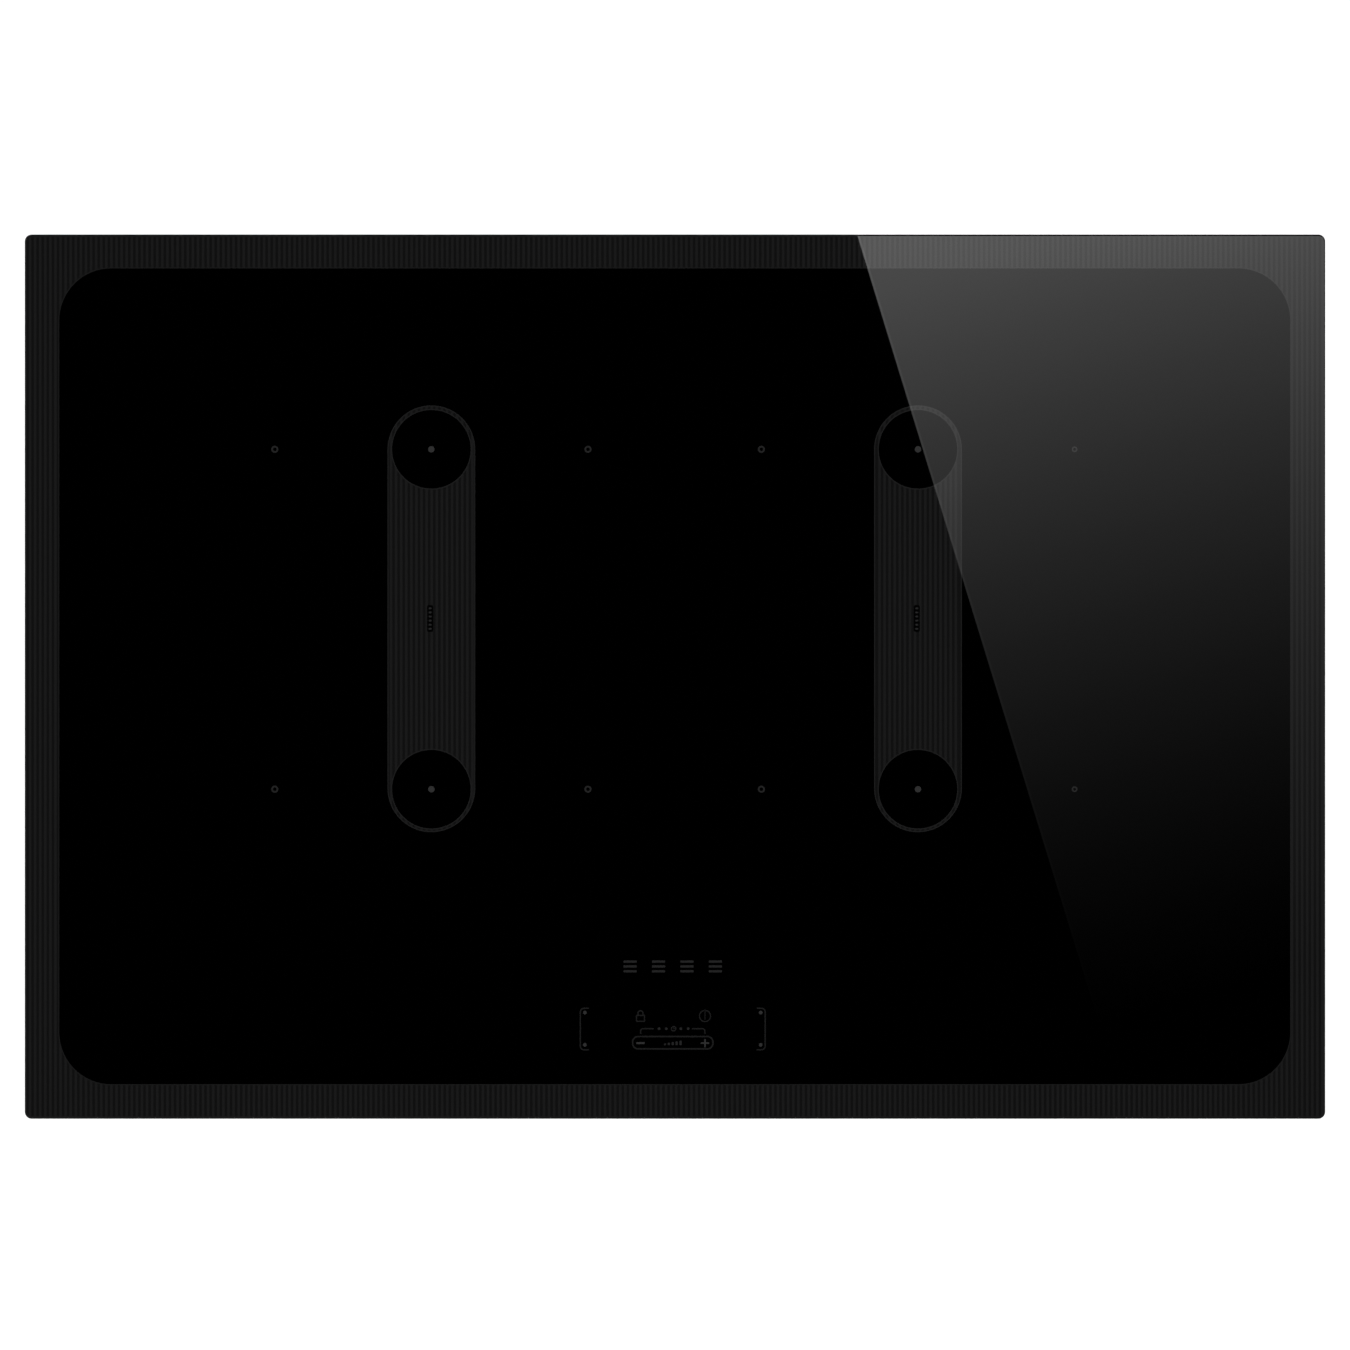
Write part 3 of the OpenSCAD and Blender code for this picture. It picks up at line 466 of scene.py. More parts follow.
def rounded_path(points, r, steps=8):
    """An open path whose inner corners are rounded to radius r."""
    path = [points[0]]
    for before, corner, after in zip(points, points[1:], points[2:]):
        a = (Vector(before) - Vector(corner)).normalized()
        b = (Vector(after) - Vector(corner)).normalized()
        reach = r / math.tan(a.angle(b) / 2)
        start, end = Vector(corner) + a * reach, Vector(corner) + b * reach
        for i in range(steps + 1):
            t = i / steps
            bend = start * (1 - t) ** 2 + Vector(corner) * 2 * t * (1 - t) + end * t * t
            path.append((bend.x, bend.y))
    return path + [points[-1]]


def stroke(path, width):
    """Outline of a line of the given width along an open path."""
    left, right = [], []
    for i, point in enumerate(path):
        ahead = Vector(path[min(i + 1, len(path) - 1)])
        behind = Vector(path[max(i - 1, 0)])
        along = (ahead - behind).normalized()
        side = Vector((-along.y, along.x)) * width / 2
        left.append((point[0] + side.x, point[1] + side.y))
        right.append((point[0] - side.x, point[1] - side.y))
    return right + left[::-1]


# ---- meshes --------------------------------------------------------------------------------------

def without_straights(points):
    """The outline without the points that lie on its straight stretches."""
    rounds = zip(points[-1:] + points[:-1], points, points[1:] + points[:1])
    return [b for a, b, c in rounds if abs(signed_area([a, b, c])) > 1e-13]


def signed_area(points):
    return sum(a[0] * b[1] - b[0] * a[1] for a, b in zip(points, points[1:] + points[:1])) / 2


class Sheets:
    """Collects flat closed plates, each an outline with holes between two heights."""

    def __init__(self):
        self.verts = []
        self.faces = []

    def caps(self, loops, flat):
        """Faces across the loops: a row of quads where one hole has a point for each of the outline's."""
        n = len(loops[0])
        if len(loops) == 2 and len(loops[1]) == n:
            across = [n + (n - 1 - i) for i in range(n)]
            return [(i, (i + 1) % n, across[(i + 1) % n], across[i]) for i in range(n)]
        found = tessellate_polygon([[Vector((x, y, 0)) for x, y in loop] for loop in loops])
        return [t if signed_area([flat[k] for k in t]) > 0 else t[::-1] for t in found]

    def plate(self, outline, z0, z1, holes=()):
        loops = [outline if signed_area(outline) > 0 else outline[::-1]]
        loops += [h if signed_area(h) < 0 else h[::-1] for h in holes]
        flat = [p for loop in loops for p in loop]
        base = len(self.verts)
        count = len(flat)
        self.verts += [(x, y, z0) for x, y in flat] + [(x, y, z1) for x, y in flat]
        for cap in self.caps(loops, flat):
            self.faces.append(tuple(base + count + k for k in cap))
            self.faces.append(tuple(base + k for k in reversed(cap)))
        start = base
        for loop in loops:
            n = len(loop)
            for i in range(n):
                j = (i + 1) % n
                self.faces.append((start + i, start + j, start + count + j, start + count + i))
            start += n
        return self


def piece(name, verts, faces, material, slot, body=ROOT, sharp=30):
    """A new piece in the row frame, riding on a body; sharp is the angle above which an edge stays hard."""
    mesh = bpy.data.meshes.new(name)
    mesh.from_pydata(verts, [], faces)
    mesh.validate()
    mesh.shade_smooth()
    mesh.set_sharp_from_angle(angle=math.radians(sharp))
    mesh.materials.append(material)
    obj = bpy.data.objects.new(name, mesh)
    bpy.context.scene.collection.objects.link(obj)
    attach(obj, body)
    return obj


def printed(name, sheets, coat):
    return piece(name, sheets.verts, sheets.faces, *COATS[coat])


# ---- the glass -----------------------------------------------------------------------------------

def glass_plate():
    """The plate with its corners and its ground edge, replacing the plain CAD plate."""
    corner_r = 4 * MM
    bare_x, bare_y = EDGE_X - 0.03 * MM, EDGE_Y - 0.03 * MM
    low_edge = [(0.5, 0.0), (0.15, 0.15), (0.0, 0.5), (0.0, 3.4)]
    bevel = [(0.08, 3.62), (0.33, 3.84), (1.0, 4.0)]
    profile = [(inset * MM, inset * MM, z) for inset, z in low_edge]
    profile += [(share * bare_x, share * bare_y, z) for share, z in bevel]
    loops = [
        [(x, y, glass_low.z + z * MM)
         for x, y in rounded_rect(0, 0, GLASS_W - 2 * in_x, GLASS_D - 2 * in_y, corner_r - in_x, 12)]
        for in_x, in_y, z in profile
    ]
    n = len(loops[0])
    verts = [v for loop in loops for v in loop]
    faces = [tuple(reversed(range(n))), tuple(range(len(verts) - n, len(verts)))]
    for k in range(len(loops) - 1):
        for i in range(n):
            j = (i + 1) % n
            faces.append((k * n + i, k * n + j, (k + 1) * n + j, (k + 1) * n + i))
    obj = piece("glass_plate", verts, faces, GLASS, "glass_black", sharp=40)
    obj.data.materials.append(EDGE_GLASS)
    for polygon in obj.data.polygons:
        polygon.material_index = 0 if len(polygon.vertices) > 4 else 1
    rim = {tuple(sorted(edge)) for polygon in obj.data.polygons if len(polygon.vertices) > 4
           for edge in polygon.edge_keys}
    for edge in obj.data.edges:
        if tuple(sorted(edge.vertices)) in rim:
            edge.use_edge_sharp = True
    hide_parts("glass_top")


def coat_top(count):
    """Height of the top of that many coats of print."""
    return TOP + count * PRINT_H


def flute_lines(low, high, shift):
    """Left and right edges of every flute between two places."""
    first = math.ceil((low - shift) / FLUTE_PITCH)
    last = math.floor((high - shift) / FLUTE_PITCH)
    for k in range(first, last + 1):
        x = shift + k * FLUTE_PITCH
        yield max(low, x - FLUTE_W / 2), min(high, x + FLUTE_W / 2)


def add_flute(sheets, x0, x1, parts_at, breaks):
    """Adds one flute from x0 to x1. parts_at(x) gives its parts there as pairs of (low, high), and breaks
    are the places where the number of parts changes."""
    places = [x0] + sorted(b for b in breaks if x0 + 1e-6 < b < x1 - 1e-6) + [x1]
    tiny = 1e-7
    for a, b in zip(places, places[1:]):
        columns = [a + tiny + (b - a - 2 * tiny) * i / 3 for i in range(4)]
        parts = [parts_at(x) for x in columns]
        for k in range(len(parts[0])):
            lower = [(x, part[k][0]) for x, part in zip(columns, parts)]
            upper = [(x, part[k][1]) for x, part in zip(columns, parts)]
            if min(u[1] - l[1] for u, l in zip(upper, lower)) > 1e-5:
                sheets.plate(without_straights(lower + upper[::-1]), coat_top(1), coat_top(1.9))


def border_print():
    """The fluted border: a dark coat, its flutes and an outline along both edges."""
    out_w, out_d = GLASS_W - 2 * EDGE_X, GLASS_D - 2 * EDGE_Y
    outer_r = 3.3 * MM
    mid_x, mid_y = WINDOW
    outer = rounded_rect(0, 0, out_w, out_d, outer_r)
    inner = rounded_rect(mid_x, mid_y, WINDOW_W, WINDOW_D, WINDOW_R, 32)
    printed("border_base", Sheets().plate(outer, coat_top(0), coat_top(1), [inner]), "base")

    lines = Sheets()
    lines.plate(outer, coat_top(1), coat_top(2),
                [rounded_rect(0, 0, out_w - 2 * OUTLINE_W, out_d - 2 * OUTLINE_W, outer_r - OUTLINE_W)])
    around = rounded_rect(mid_x, mid_y, WINDOW_W + 2 * OUTLINE_W, WINDOW_D + 2 * OUTLINE_W,
                          WINDOW_R + OUTLINE_W, 32)
    lines.plate(around, coat_top(1), coat_top(2), [inner])
    printed("border_outlines", lines, "flute")

    far_y = out_d / 2 - OUTLINE_W
    half_w = WINDOW_W / 2 + OUTLINE_W
    half_d = WINDOW_D / 2 + OUTLINE_W
    r = WINDOW_R + OUTLINE_W

    def parts(x):
        off = abs(x - mid_x)
        if off >= half_w:
            return [(-far_y, far_y)]
        over = max(0.0, off - (half_w - r))
        near = half_d - r + math.sqrt(max(0.0, r * r - over * over))
        return [(-far_y, mid_y - near), (mid_y + near, far_y)]

    flutes = Sheets()
    edge = out_w / 2 - OUTLINE_W
    for x0, x1 in flute_lines(-edge, edge, BORDER_SHIFT):
        add_flute(flutes, x0, x1, parts, (mid_x - half_w, mid_x + half_w))
    printed("border_flutes", flutes, "flute")


def strip_print(name, x, low, high):
    """A fluted strip joining two zones, with a plain disc at each end."""
    x += PRINT_X
    end_low = low + STRIP_END
    shape = stadium(x, end_low, high, STRIP_R)
    discs = [circle(x, y, DISC_R, 96) for y in (low, high)]
    printed(name + "_base", Sheets().plate(shape, coat_top(0), coat_top(1), discs), "base")

    rim = 0.6 * MM
    lines = Sheets()
    lines.plate(shape, coat_top(1), coat_top(2), [stadium(x, end_low, high, STRIP_R - rim)])
    for y, disc in zip((low, high), discs):
        lines.plate(circle(x, y, DISC_R + rim, 96), coat_top(1), coat_top(2), [disc])
    printed(name + "_outline", lines, "outline")

    inside = STRIP_R - rim
    hole = DISC_R + rim

    def half_chord(r, dx):
        return math.sqrt(max(0.0, r * r - dx * dx))

    def parts(at):
        dx = at - x
        end = half_chord(inside, dx)
        if abs(dx) >= hole:
            return [(end_low - end, high + end)]
        gap = half_chord(hole, dx)
        return [(end_low - end, low - gap), (low + gap, high - gap), (high + gap, high + end)]

    flutes = Sheets()
    for x0, x1 in flute_lines(x - inside, x + inside, STRIP_SHIFT):
        add_flute(flutes, x0, x1, parts, (x - hole, x + hole))
    printed(name + "_flutes", flutes, "flute")

    ladder_print(name, x + LADDER_SHIFT[0], (low + high) / 2 + LADDER_SHIFT[1])


def ladder_print(name, x, y):
    """A small black bar with a row of grey rungs, in the middle of a strip."""
    bar, rungs = Sheets(), Sheets()
    bar.plate(rounded_rect(x, y, 3.4 * MM, 15.4 * MM, 0.9 * MM), coat_top(2), coat_top(3))
    pitch = 2.36 * MM
    for k in range(6):
        rungs.plate(capsule(x, y + (k - 2.5) * pitch, 1.8 * MM, 1.05 * MM), coat_top(3), coat_top(4))
    printed(name + "_bar", bar, "black")
    printed(name + "_rungs", rungs, "soft")


def zone_marks():
    """A dot in the middle of each zone and the two small rings at its sides."""
    dots, rings = Sheets(), Sheets()
    for zone in ZONES.values():
        dots.plate(circle(zone.x + PRINT_X, zone.y, DOT_R, 48), coat_top(0), coat_top(1))
        for side in (-1, 1):
            x = zone.x + side * ZONE_R + PRINT_X
            r = SMALL_LIMIT_R if side > 0 and zone.x > 0 else LIMIT_R
            rings.plate(circle(x, zone.y, r, 48), coat_top(0), coat_top(1), [circle(x, zone.y, 0.5 * r, 48)])
    printed("zone_dots", dots, "clear")
    printed("zone_rings", rings, "soft")


# ---- control legends, placed from the middle of the control group --------------------------------

BACK_ROW = -195.7 * MM   # power key
TIMER_ROW = -203.0 * MM  # clock and its dots
FRONT_ROW = -211.3 * MM  # minus, level, plus
KEY_DX = 18.6 * MM       # from the group's middle to a key
THIN = 0.75 * MM         # usual width of a line


class Legends(Sheets):
    """Plates of one coat of print on the glass, given from the middle of the control group."""

    def fill(self, outline, holes=()):
        def shift(points):
            return [(CONTROL.x + PRINT_X + x, y) for x, y in points]
        return self.plate(shift(outline), coat_top(0), coat_top(1), [shift(h) for h in holes])

    def line(self, path, width=THIN):
        return self.fill(stroke(path, width))


def bracket_legend(legends):
    """The two upright brackets at the ends of the group."""
    for side in (-1, 1):
        x = side * 53.3 * MM
        hook = x - side * 4.9 * MM
        back, front = -191.2 * MM, -215.2 * MM
        legends.line(rounded_path([(hook, back), (x, back), (x, front), (hook, front)], 2.5 * MM))


def pill_legend(legends):
    """The long pill round the power keys."""
    w, d, line = 47.2 * MM, 8.0 * MM, 0.9 * MM
    y, r = FRONT_ROW + 0.23 * MM, 3.6 * MM
    legends.fill(rounded_rect(0, y, w, d, r), [rounded_rect(0, y, w - 2 * line, d - 2 * line, r - line)])


def timer_legend(legends):
    """Two corner lines that lead from the timer symbol to the power keys."""
    for side in (-1, 1):
        x = side * 18.5 * MM
        path = [(x, -206.0 * MM), (x, TIMER_ROW), (side * 11.0 * MM, TIMER_ROW)]
        legends.line(rounded_path(path, 1.6 * MM))


def lock_legend(legends):
    """A small closed padlock."""
    x, base = -KEY_DX, -199.1 * MM
    w, d, line = 5.3 * MM, 4.1 * MM, 0.7 * MM
    body = rounded_rect(x, base + d / 2, w, d, 0.6 * MM)
    hole = rounded_rect(x, base + d / 2, w - 2 * line, d - 2 * line, 0.2 * MM)
    legends.fill(body, [hole])
    r, top = 1.45 * MM, base + d + 0.9 * MM
    legends.line([(x + r, base + d)] + arc(x, top, r, 0, 180, 24) + [(x - r, base + d)], line)


def power_legend(legends):
    """A ring and an upright bar that rises through the gap in its top."""
    x, y = KEY_DX, BACK_ROW
    legends.line(arc(x, y, 3.2 * MM, 98, 442, 60), 0.65 * MM)
    legends.fill(capsule(x, y + 0.9 * MM, 0.5 * MM, 6.2 * MM))


def clock_legend(legends):
    """A small clock between two pairs of dots."""
    x, y, r, line = 0.5 * MM, TIMER_ROW, 1.5 * MM, 0.45 * MM
    legends.fill(circle(x, y, r, 48), [circle(x, y, r - line, 48)])
    legends.line([(x, y + 0.8 * MM), (x, y), (x + 0.6 * MM, y)], 0.35 * MM)
    for k in (-2, -1, 1, 2):
        legends.fill(circle(x + k * 4.2 * MM, y, 0.8 * MM, 24))


def level_legend(legends):
    """Five rising bars between the minus and the plus."""
    low = FRONT_ROW - 1.2 * MM
    for k in range(5):
        height = (1.0 + 0.4 * k) * MM
        legends.fill(rounded_rect((k - 2) * 2.25 * MM, low + height / 2, 1.25 * MM, height, 0.3 * MM, 6))


def sign_legend(legends):
    """The minus and the plus."""
    arm, line = 4.8 * MM, 1.1 * MM
    legends.fill(rounded_rect(-KEY_DX, FRONT_ROW, arm, line, 0.2 * MM, 4))
    h, t = arm / 2, 0.42 * line
    end = 0.96 * t
    quarter = [(h, end), (t, t), (end, h)]
    plus = []
    for _ in range(4):
        plus += quarter
        quarter = [(-y, x) for x, y in quarter]
    legends.fill([(KEY_DX + x, FRONT_ROW + y) for x, y in plus])


def ornament(legends):
    """Four plain blocks of three bars each, where a name plate would be."""
    for k in range(4):
        for row in (-1, 0, 1):
            x, y = (k - 1.5) * 16.4 * MM, (-167.1 + 2.8 * row) * MM
            legends.fill(rounded_rect(x, y, 7.6 * MM, 1.3 * MM, 0.2 * MM, 4))


def control_legends():
    faint, soft, clear = Legends(), Legends(), Legends()
    bracket_legend(faint)
    pill_legend(faint)
    timer_legend(faint)
    lock_legend(faint)
    power_legend(faint)
    clock_legend(soft)
    level_legend(soft)
    sign_legend(clear)
    for side in (-1, 1):
        for y in (-193.7 * MM, -212.3 * MM):
            clear.fill(circle(side * 50.7 * MM, y, 1.05 * MM, 32))
    ornament(soft)
    printed("legend_faint", faint, "faint")
    printed("legend_soft", soft, "soft")
    printed("legend_clear", clear, "clear")


# ---- pieces under the glass ----------------------------------------------------------------------

def tube(path, radius, sides):
    """Vertices and faces of a round tube along a mostly level path, and the length up to each point."""
    verts, faces, along = [], [], [0.0]
    for a, b in zip(path, path[1:]):
        along.append(along[-1] + (b - a).length)
    for i, point in enumerate(path):
        ahead = (path[min(i + 1, len(path) - 1)] - path[max(i - 1, 0)]).normalized()
        side = ahead.cross(Vector((0, 0, 1))).normalized()
        up = side.cross(ahead)
        for k in range(sides):
            a = 2 * math.pi * k / sides
            verts.append(point + side * radius * math.cos(a) + up * radius * math.sin(a))
    for i in range(len(path) - 1):
        for k in range(sides):
            j = (k + 1) % sides
            faces.append((i * sides + k, (i + 1) * sides + k, (i + 1) * sides + j, i * sides + j))
    faces.append(tuple(range(sides)))
    faces.append(tuple(reversed(range(len(verts) - sides, len(verts)))))
    return verts, faces, along


def spiral_winding(corner):
    """The coil as one flat spiral of litz wire, in place of the CAD model's separate rings."""
    node = "winding_" + corner
    low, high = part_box(node)
    centre = (low + high) / 2
    strand = (high.z - low.z) / 2
    turns, steps, sides = 19, 72, 12
    r_in = 28 * MM
    r_out = (high.x - low.x) / 2 - strand
    path = []
    for i in range(turns * steps + 1):
        t = i / (turns * steps)
        angle = 2 * math.pi * i / steps
        r = r_in + (r_out - r_in) * t
        path.append(Vector((centre.x + r * math.cos(angle), centre.y + r * math.sin(angle), centre.z)))
    verts, faces, along = tube(path, strand, sides)
    obj = piece("spiral_" + corner, verts, faces, MATERIALS["litz_copper"], "litz_copper",
                body="coil_" + corner, sharp=80)
    layer = obj.data.uv_layers.new(name="strand_map")
    lap = 2 * math.pi * strand
    for polygon in obj.data.polygons:
        around = [obj.data.loops[i].vertex_index % sides for i in polygon.loop_indices]
        wraps = max(around) == sides - 1 and min(around) == 0
        for i, k in zip(polygon.loop_indices, around):
            turn = 1.0 if wraps and k == 0 else k / sides
            layer.data[i].uv = (along[obj.data.loops[i].vertex_index // sides] / lap, turn)
    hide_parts(node)


def coil_springs(corner):
    """The three springs under a coil."""
    node = "coil_springs_" + corner
    low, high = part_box(node)
    centre = middle("winding_" + corner)
    wire, sides, turns, steps = 0.5 * MM, 8, 4, 24
    coil_r = centre.x - SPRING_CIRCLE * math.cos(math.radians(45)) - low.x - wire
    verts, faces = [], []
    for angle in SPRING_ANGLES:
        x = centre.x + SPRING_CIRCLE * math.cos(math.radians(angle))
        y = centre.y + SPRING_CIRCLE * math.sin(math.radians(angle))
        path = []
        for i in range(turns * steps + 1):
            turn = i / steps
            rise = min(max((turn - 0.5) / (turns - 1), 0), 1)
            a = 2 * math.pi * turn
            z = low.z + wire + (high.z - low.z - 2 * wire) * rise
            path.append(Vector((x + coil_r * math.cos(a), y + coil_r * math.sin(a), z)))
        more_verts, more_faces, _ = tube(path, wire, sides)
        start = len(verts)
        verts += more_verts
        faces += [tuple(start + v for v in face) for face in more_faces]
    obj = piece("springs_" + corner, verts, faces, MATERIALS["spring_steel"], "spring_steel", sharp=60)
    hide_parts(node)
    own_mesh(obj)


def side_clips():
    """The four bowed spring leaves on the casing's sides, each one bent strip."""
    low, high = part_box("side_clips")
    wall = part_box("base_tray")[1].x
    leaf, width, steps = 0.8 * MM, 16 * MM, 36
    reach, bow_half = high.x - wall - leaf, 14 * MM
    middle_z = low.z + bow_half
    verts, faces = [], []
    for side in (-1, 1):
        for y in (low.y, high.y - width):
            base = len(verts)
            for i in range(steps + 1):
                z = low.z + (high.z - low.z) * i / steps
                swing = min(1.0, (z - middle_z) / bow_half)
                out = reach * (0.5 + 0.5 * math.cos(math.pi * swing))
                for x in (wall + out, wall + out + leaf):
                    verts += [(side * x, y, z), (side * x, y + width, z)]
            ring = [2, 3, 1, 0] if side > 0 else [0, 1, 3, 2]
            faces.append(tuple(base + k for k in reversed(ring)))
            faces.append(tuple(base + 4 * steps + k for k in ring))
            for i in range(steps):
                here, ahead = base + 4 * i, base + 4 * i + 4
                for a, b in zip(ring, ring[1:] + ring[:1]):
                    faces.append((here + a, here + b, ahead + b, ahead + a))
    slot = next(s["material_slot"] for s in frame["record"]["subparts"] if s["node"] == "side_clips")
    obj = piece("bowed_side_clips", verts, faces, MATERIALS[slot], slot, sharp=40)
    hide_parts("side_clips")


def rating_label():
    """A blank foil label on the left wall."""
    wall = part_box("base_tray")[0].x
    y0, y1, z0, z1 = -0.035, 0.035, 0.011, 0.033
    thick = 0.08 * MM
    corners = ((y0, z0), (y1, z0), (y1, z1), (y0, z1))
    verts = [(x, y, z) for x in (wall - thick, wall) for y, z in corners]
    faces = [(3, 2, 1, 0), (4, 5, 6, 7)] + [(i, (i + 1) % 4, 4 + (i + 1) % 4, 4 + i) for i in range(4)]
    piece("blank_label", verts, faces, MATERIALS["label_white"], "label_white")


def paint_cad():
    """Gives every carried-over CAD node the material of its slot."""
    slots = {s["node"]: s["material_slot"] for s in frame["record"]["subparts"]}
    for name, obj in frame["nodes"].items():
        obj.data.materials.clear()
        obj.data.materials.append(MATERIALS[slots[name]])


# ---- stage ---------------------------------------------------------------------------------------

CAMERA_LENS = 135        # with a 36 mm sensor
SENSOR_W = 36
FRAME_W = GLASS_W * 1.03795  # width of the view at the height of the glass
CAMERA_H = FRAME_W * CAMERA_LENS / SENSOR_W
AIM_Y = 0.95 * MM


def camera():
    """Straight above the glass, as in the photo."""
    data = bpy.data.cameras.new("camera")
    data.lens = CAMERA_LENS
    data.sensor_width = SENSOR_W
    data.clip_end = 50
    obj = bpy.data.objects.new("camera", data)
    obj.location = (0, AIM_Y, TOP + CAMERA_H)
    bpy.context.scene.collection.objects.link(obj)
    bpy.context.scene.camera = obj


def floor():
    """A round pale floor that shines a little by itself, so that it shows white."""
    s = Shader("pale_floor", (0.1, 0.1, 0.1), roughness=0.8, specular=0.0)
    s.set("Base Color", s.mix(s.noise(3, 3), (0.098, 0.098, 0.098), (0.102, 0.102, 0.102)))
    s.set("Emission Color", (1, 1, 1, 1))
    s.set("Emission Strength", 0.55)
    mesh = bpy.data.meshes.new("floor")
    points = circle(0, 0, 9.0, 96)
    mesh.from_pydata([(x, y, -0.0002) for x, y in points], [], [tuple(range(len(points)))])
    mesh.materials.append(s.material)
    obj = bpy.data.objects.new("floor", mesh)
    bpy.context.scene.collection.objects.link(obj)
    return obj


def to_linear(value):
    """sRGB value, 0 to 1, as linear light."""
    return value / 12.92 if value <= 0.04045 else ((value + 0.055) / 1.055) ** 2.4


def reflection_card():
    """A large softbox panel above the glass. Its slanting left edge and its fall-off show as the
    reflection that crosses the right of the glass."""
    height = 0.5 * CAMERA_H
    grow = 1 + height / CAMERA_H
    back = Vector((0.14 * GLASS_W, 0.5 * GLASS_D))
    front = Vector((0.3227 * GLASS_W, -0.3765 * GLASS_D))
    reach = (back - front) * 0.5
    right = Vector((0.6, 0))
    corners = [front - reach, front - reach + right, back + reach + right, back + reach]
    verts = [(p.x * grow, AIM_Y + (p.y - AIM_Y) * grow, TOP + height) for p in corners]
    mesh = bpy.data.meshes.new("reflection_card")
    mesh.from_pydata(verts, [], [(3, 2, 1, 0)])
    obj = bpy.data.objects.new("reflection_card", mesh)
    bpy.context.scene.collection.objects.link(obj)

    material = bpy.data.materials.new("card_light")
    material.use_nodes = True
    tree = material.node_tree
    tree.nodes.clear()
    coords = tree.nodes.new("ShaderNodeTexCoord")
    dot = tree.nodes.new("ShaderNodeVectorMath")
    dot.operation = "DOT_PRODUCT"
    dot.inputs[1].default_value = (0.28 / grow, -0.96 / grow, 0)
    spread = tree.nodes.new("ShaderNodeMapRange")
    start, end = -0.2238, 0.2616
    spread.inputs["From Min"].default_value = start
    spread.inputs["From Max"].default_value = end
    ramp = tree.nodes.new("ShaderNodeValToRGB")
    stops = 12
    peak, power, crest = 0.3184, 1.43, 0.297
    elements = ramp.color_ramp.elements
    while len(elements) < stops:
        elements.new(0.5)
    for i, element in enumerate(elements):
        t = i / (stops - 1)
        level = to_linear(min(crest, peak * (1 - t) ** power)) / to_linear(peak)
        element.position = t
        element.color = (level, level, level, 1)
    light = tree.nodes.new("ShaderNodeEmission")
    light.inputs["Strength"].default_value = to_linear(peak) / 0.04
    out = tree.nodes.new("ShaderNodeOutputMaterial")
    for a, b in ((coords.outputs["Object"], dot.inputs[0]),
                 (dot.outputs["Value"], spread.inputs["Value"]),
                 (spread.outputs[0], ramp.inputs["Fac"]),
                 (ramp.outputs["Color"], light.inputs["Color"]),
                 (light.outputs[0], out.inputs["Surface"])):
        tree.links.new(a, b)
    mesh.materials.append(material)
    hide_from_camera(obj)
    card_rim(corners, grow, height, material)


def hide_from_camera(obj):
    """Keeps a card visible only in reflections."""
    obj.visible_camera = False
    obj.visible_diffuse = False
    obj.visible_shadow = False


def card_rim(corners, grow, height, material):
    """The bright rim along the slanting edge of the panel, a little stronger than the panel."""
    front, back = corners[0], corners[3]
    along = (back - front).normalized()
    across = Vector((along.y, -along.x)) * 1.1 * MM
    points = [front, front + across, back + across, back]
    verts = [(p.x * grow, AIM_Y + (p.y - AIM_Y) * grow, TOP + height - 0.5 * MM) for p in points]
    mesh = bpy.data.meshes.new("card_rim")
    mesh.from_pydata(verts, [], [(0, 1, 2, 3)])
    obj = bpy.data.objects.new("card_rim", mesh)
    bpy.context.scene.collection.objects.link(obj)
    strong = material.copy()
    strong.name = "card_rim_light"
    light = next(n for n in strong.node_tree.nodes if n.type == "EMISSION")
    light.inputs["Strength"].default_value *= 1.28
    mesh.materials.append(strong)
    hide_from_camera(obj)


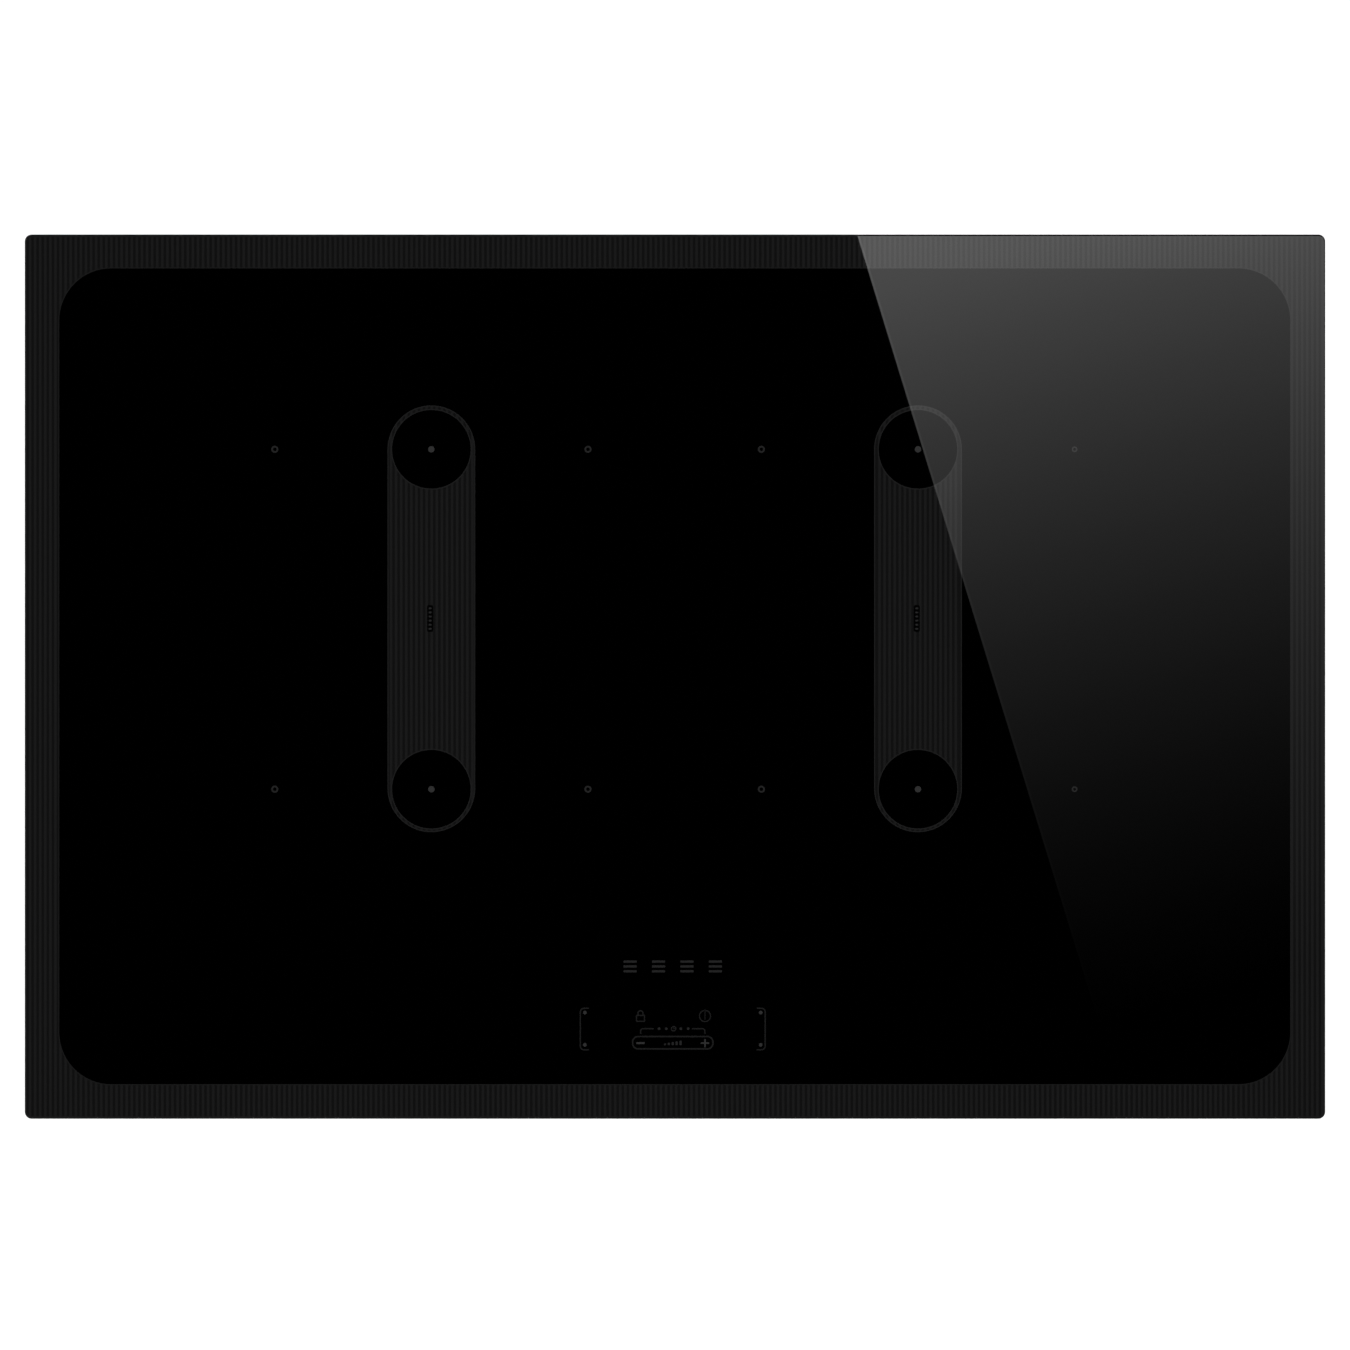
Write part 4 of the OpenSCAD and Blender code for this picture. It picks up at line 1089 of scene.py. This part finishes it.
def world():
    """Pale near the horizon and dark overhead, so that the glass seen from above stays black."""
    data = bpy.data.worlds.new("studio")
    bpy.context.scene.world = data
    data.use_nodes = True
    tree = data.node_tree
    tree.nodes.clear()
    coords = tree.nodes.new("ShaderNodeTexCoord")
    parts = tree.nodes.new("ShaderNodeSeparateXYZ")
    ramp = tree.nodes.new("ShaderNodeValToRGB")
    path = tree.nodes.new("ShaderNodeLightPath")
    sky = tree.nodes.new("ShaderNodeBackground")
    white = tree.nodes.new("ShaderNodeBackground")
    mix = tree.nodes.new("ShaderNodeMixShader")
    out = tree.nodes.new("ShaderNodeOutputWorld")
    stops = [(0.0, 0.32), (0.17, 0.28), (0.42, 0.28), (0.7, 0.45), (0.86, 0.3), (0.93, 0.0), (1.0, 0.0)]
    elements = ramp.color_ramp.elements
    while len(elements) < len(stops):
        elements.new(0.5)
    for element, (place, level) in zip(elements, stops):
        element.position = place
        element.color = (level, level, level, 1)
    white.inputs["Color"].default_value = (1, 1, 1, 1)
    white.inputs["Strength"].default_value = 1.2
    for a, b in ((coords.outputs["Generated"], parts.inputs[0]),
                 (parts.outputs["Z"], ramp.inputs["Fac"]),
                 (ramp.outputs["Color"], sky.inputs["Color"]),
                 (path.outputs["Is Camera Ray"], mix.inputs[0]),
                 (sky.outputs[0], mix.inputs[1]),
                 (white.outputs[0], mix.inputs[2]),
                 (mix.outputs[0], out.inputs["Surface"])):
        tree.links.new(a, b)


def sun(name, azimuth, elevation, strength, angle):
    """Azimuth 0 shines from the front of the cooktop, 90 from its right."""
    data = bpy.data.lights.new(name, "SUN")
    data.energy = strength
    data.angle = math.radians(angle)
    obj = bpy.data.objects.new(name, data)
    a, e = math.radians(azimuth), math.radians(elevation)
    toward = Vector((math.sin(a) * math.cos(e), -math.cos(a) * math.cos(e), math.sin(e)))
    obj.rotation_euler = toward.to_track_quat("Z", "Y").to_euler()
    bpy.context.scene.collection.objects.link(obj)
    return obj


def floor_light(ground):
    """Lights only the floor, from straight above, so that the shadow stays under the glass."""
    lamp = sun("floor_light", 0, 90, 16.0, 10)
    lamp.visible_glossy = False
    lit = bpy.data.collections.new("lit_by_floor_light")
    lit.objects.link(ground)
    lamp.light_linking.receiver_collection = lit


def stage():
    camera()
    floor_light(floor())
    reflection_card()
    world()
    sun("key_light", -35, 52, 1.6, 25)
    sun("fill_light", 60, 35, 0.5, 40)
    bpy.context.scene.view_settings.view_transform = "Standard"


# ---- everything ----------------------------------------------------------------------------------

stage()
paint_cad()
glass_plate()
border_print()
for side in ("left", "right"):
    front, rear = ZONES["front_" + side], ZONES["back_" + side]
    strip_print("strip_" + side, front.x, front.y, rear.y)
zone_marks()
control_legends()
for corner in CORNERS:
    spiral_winding(corner)
    coil_springs(corner)
side_clips()
rating_label()
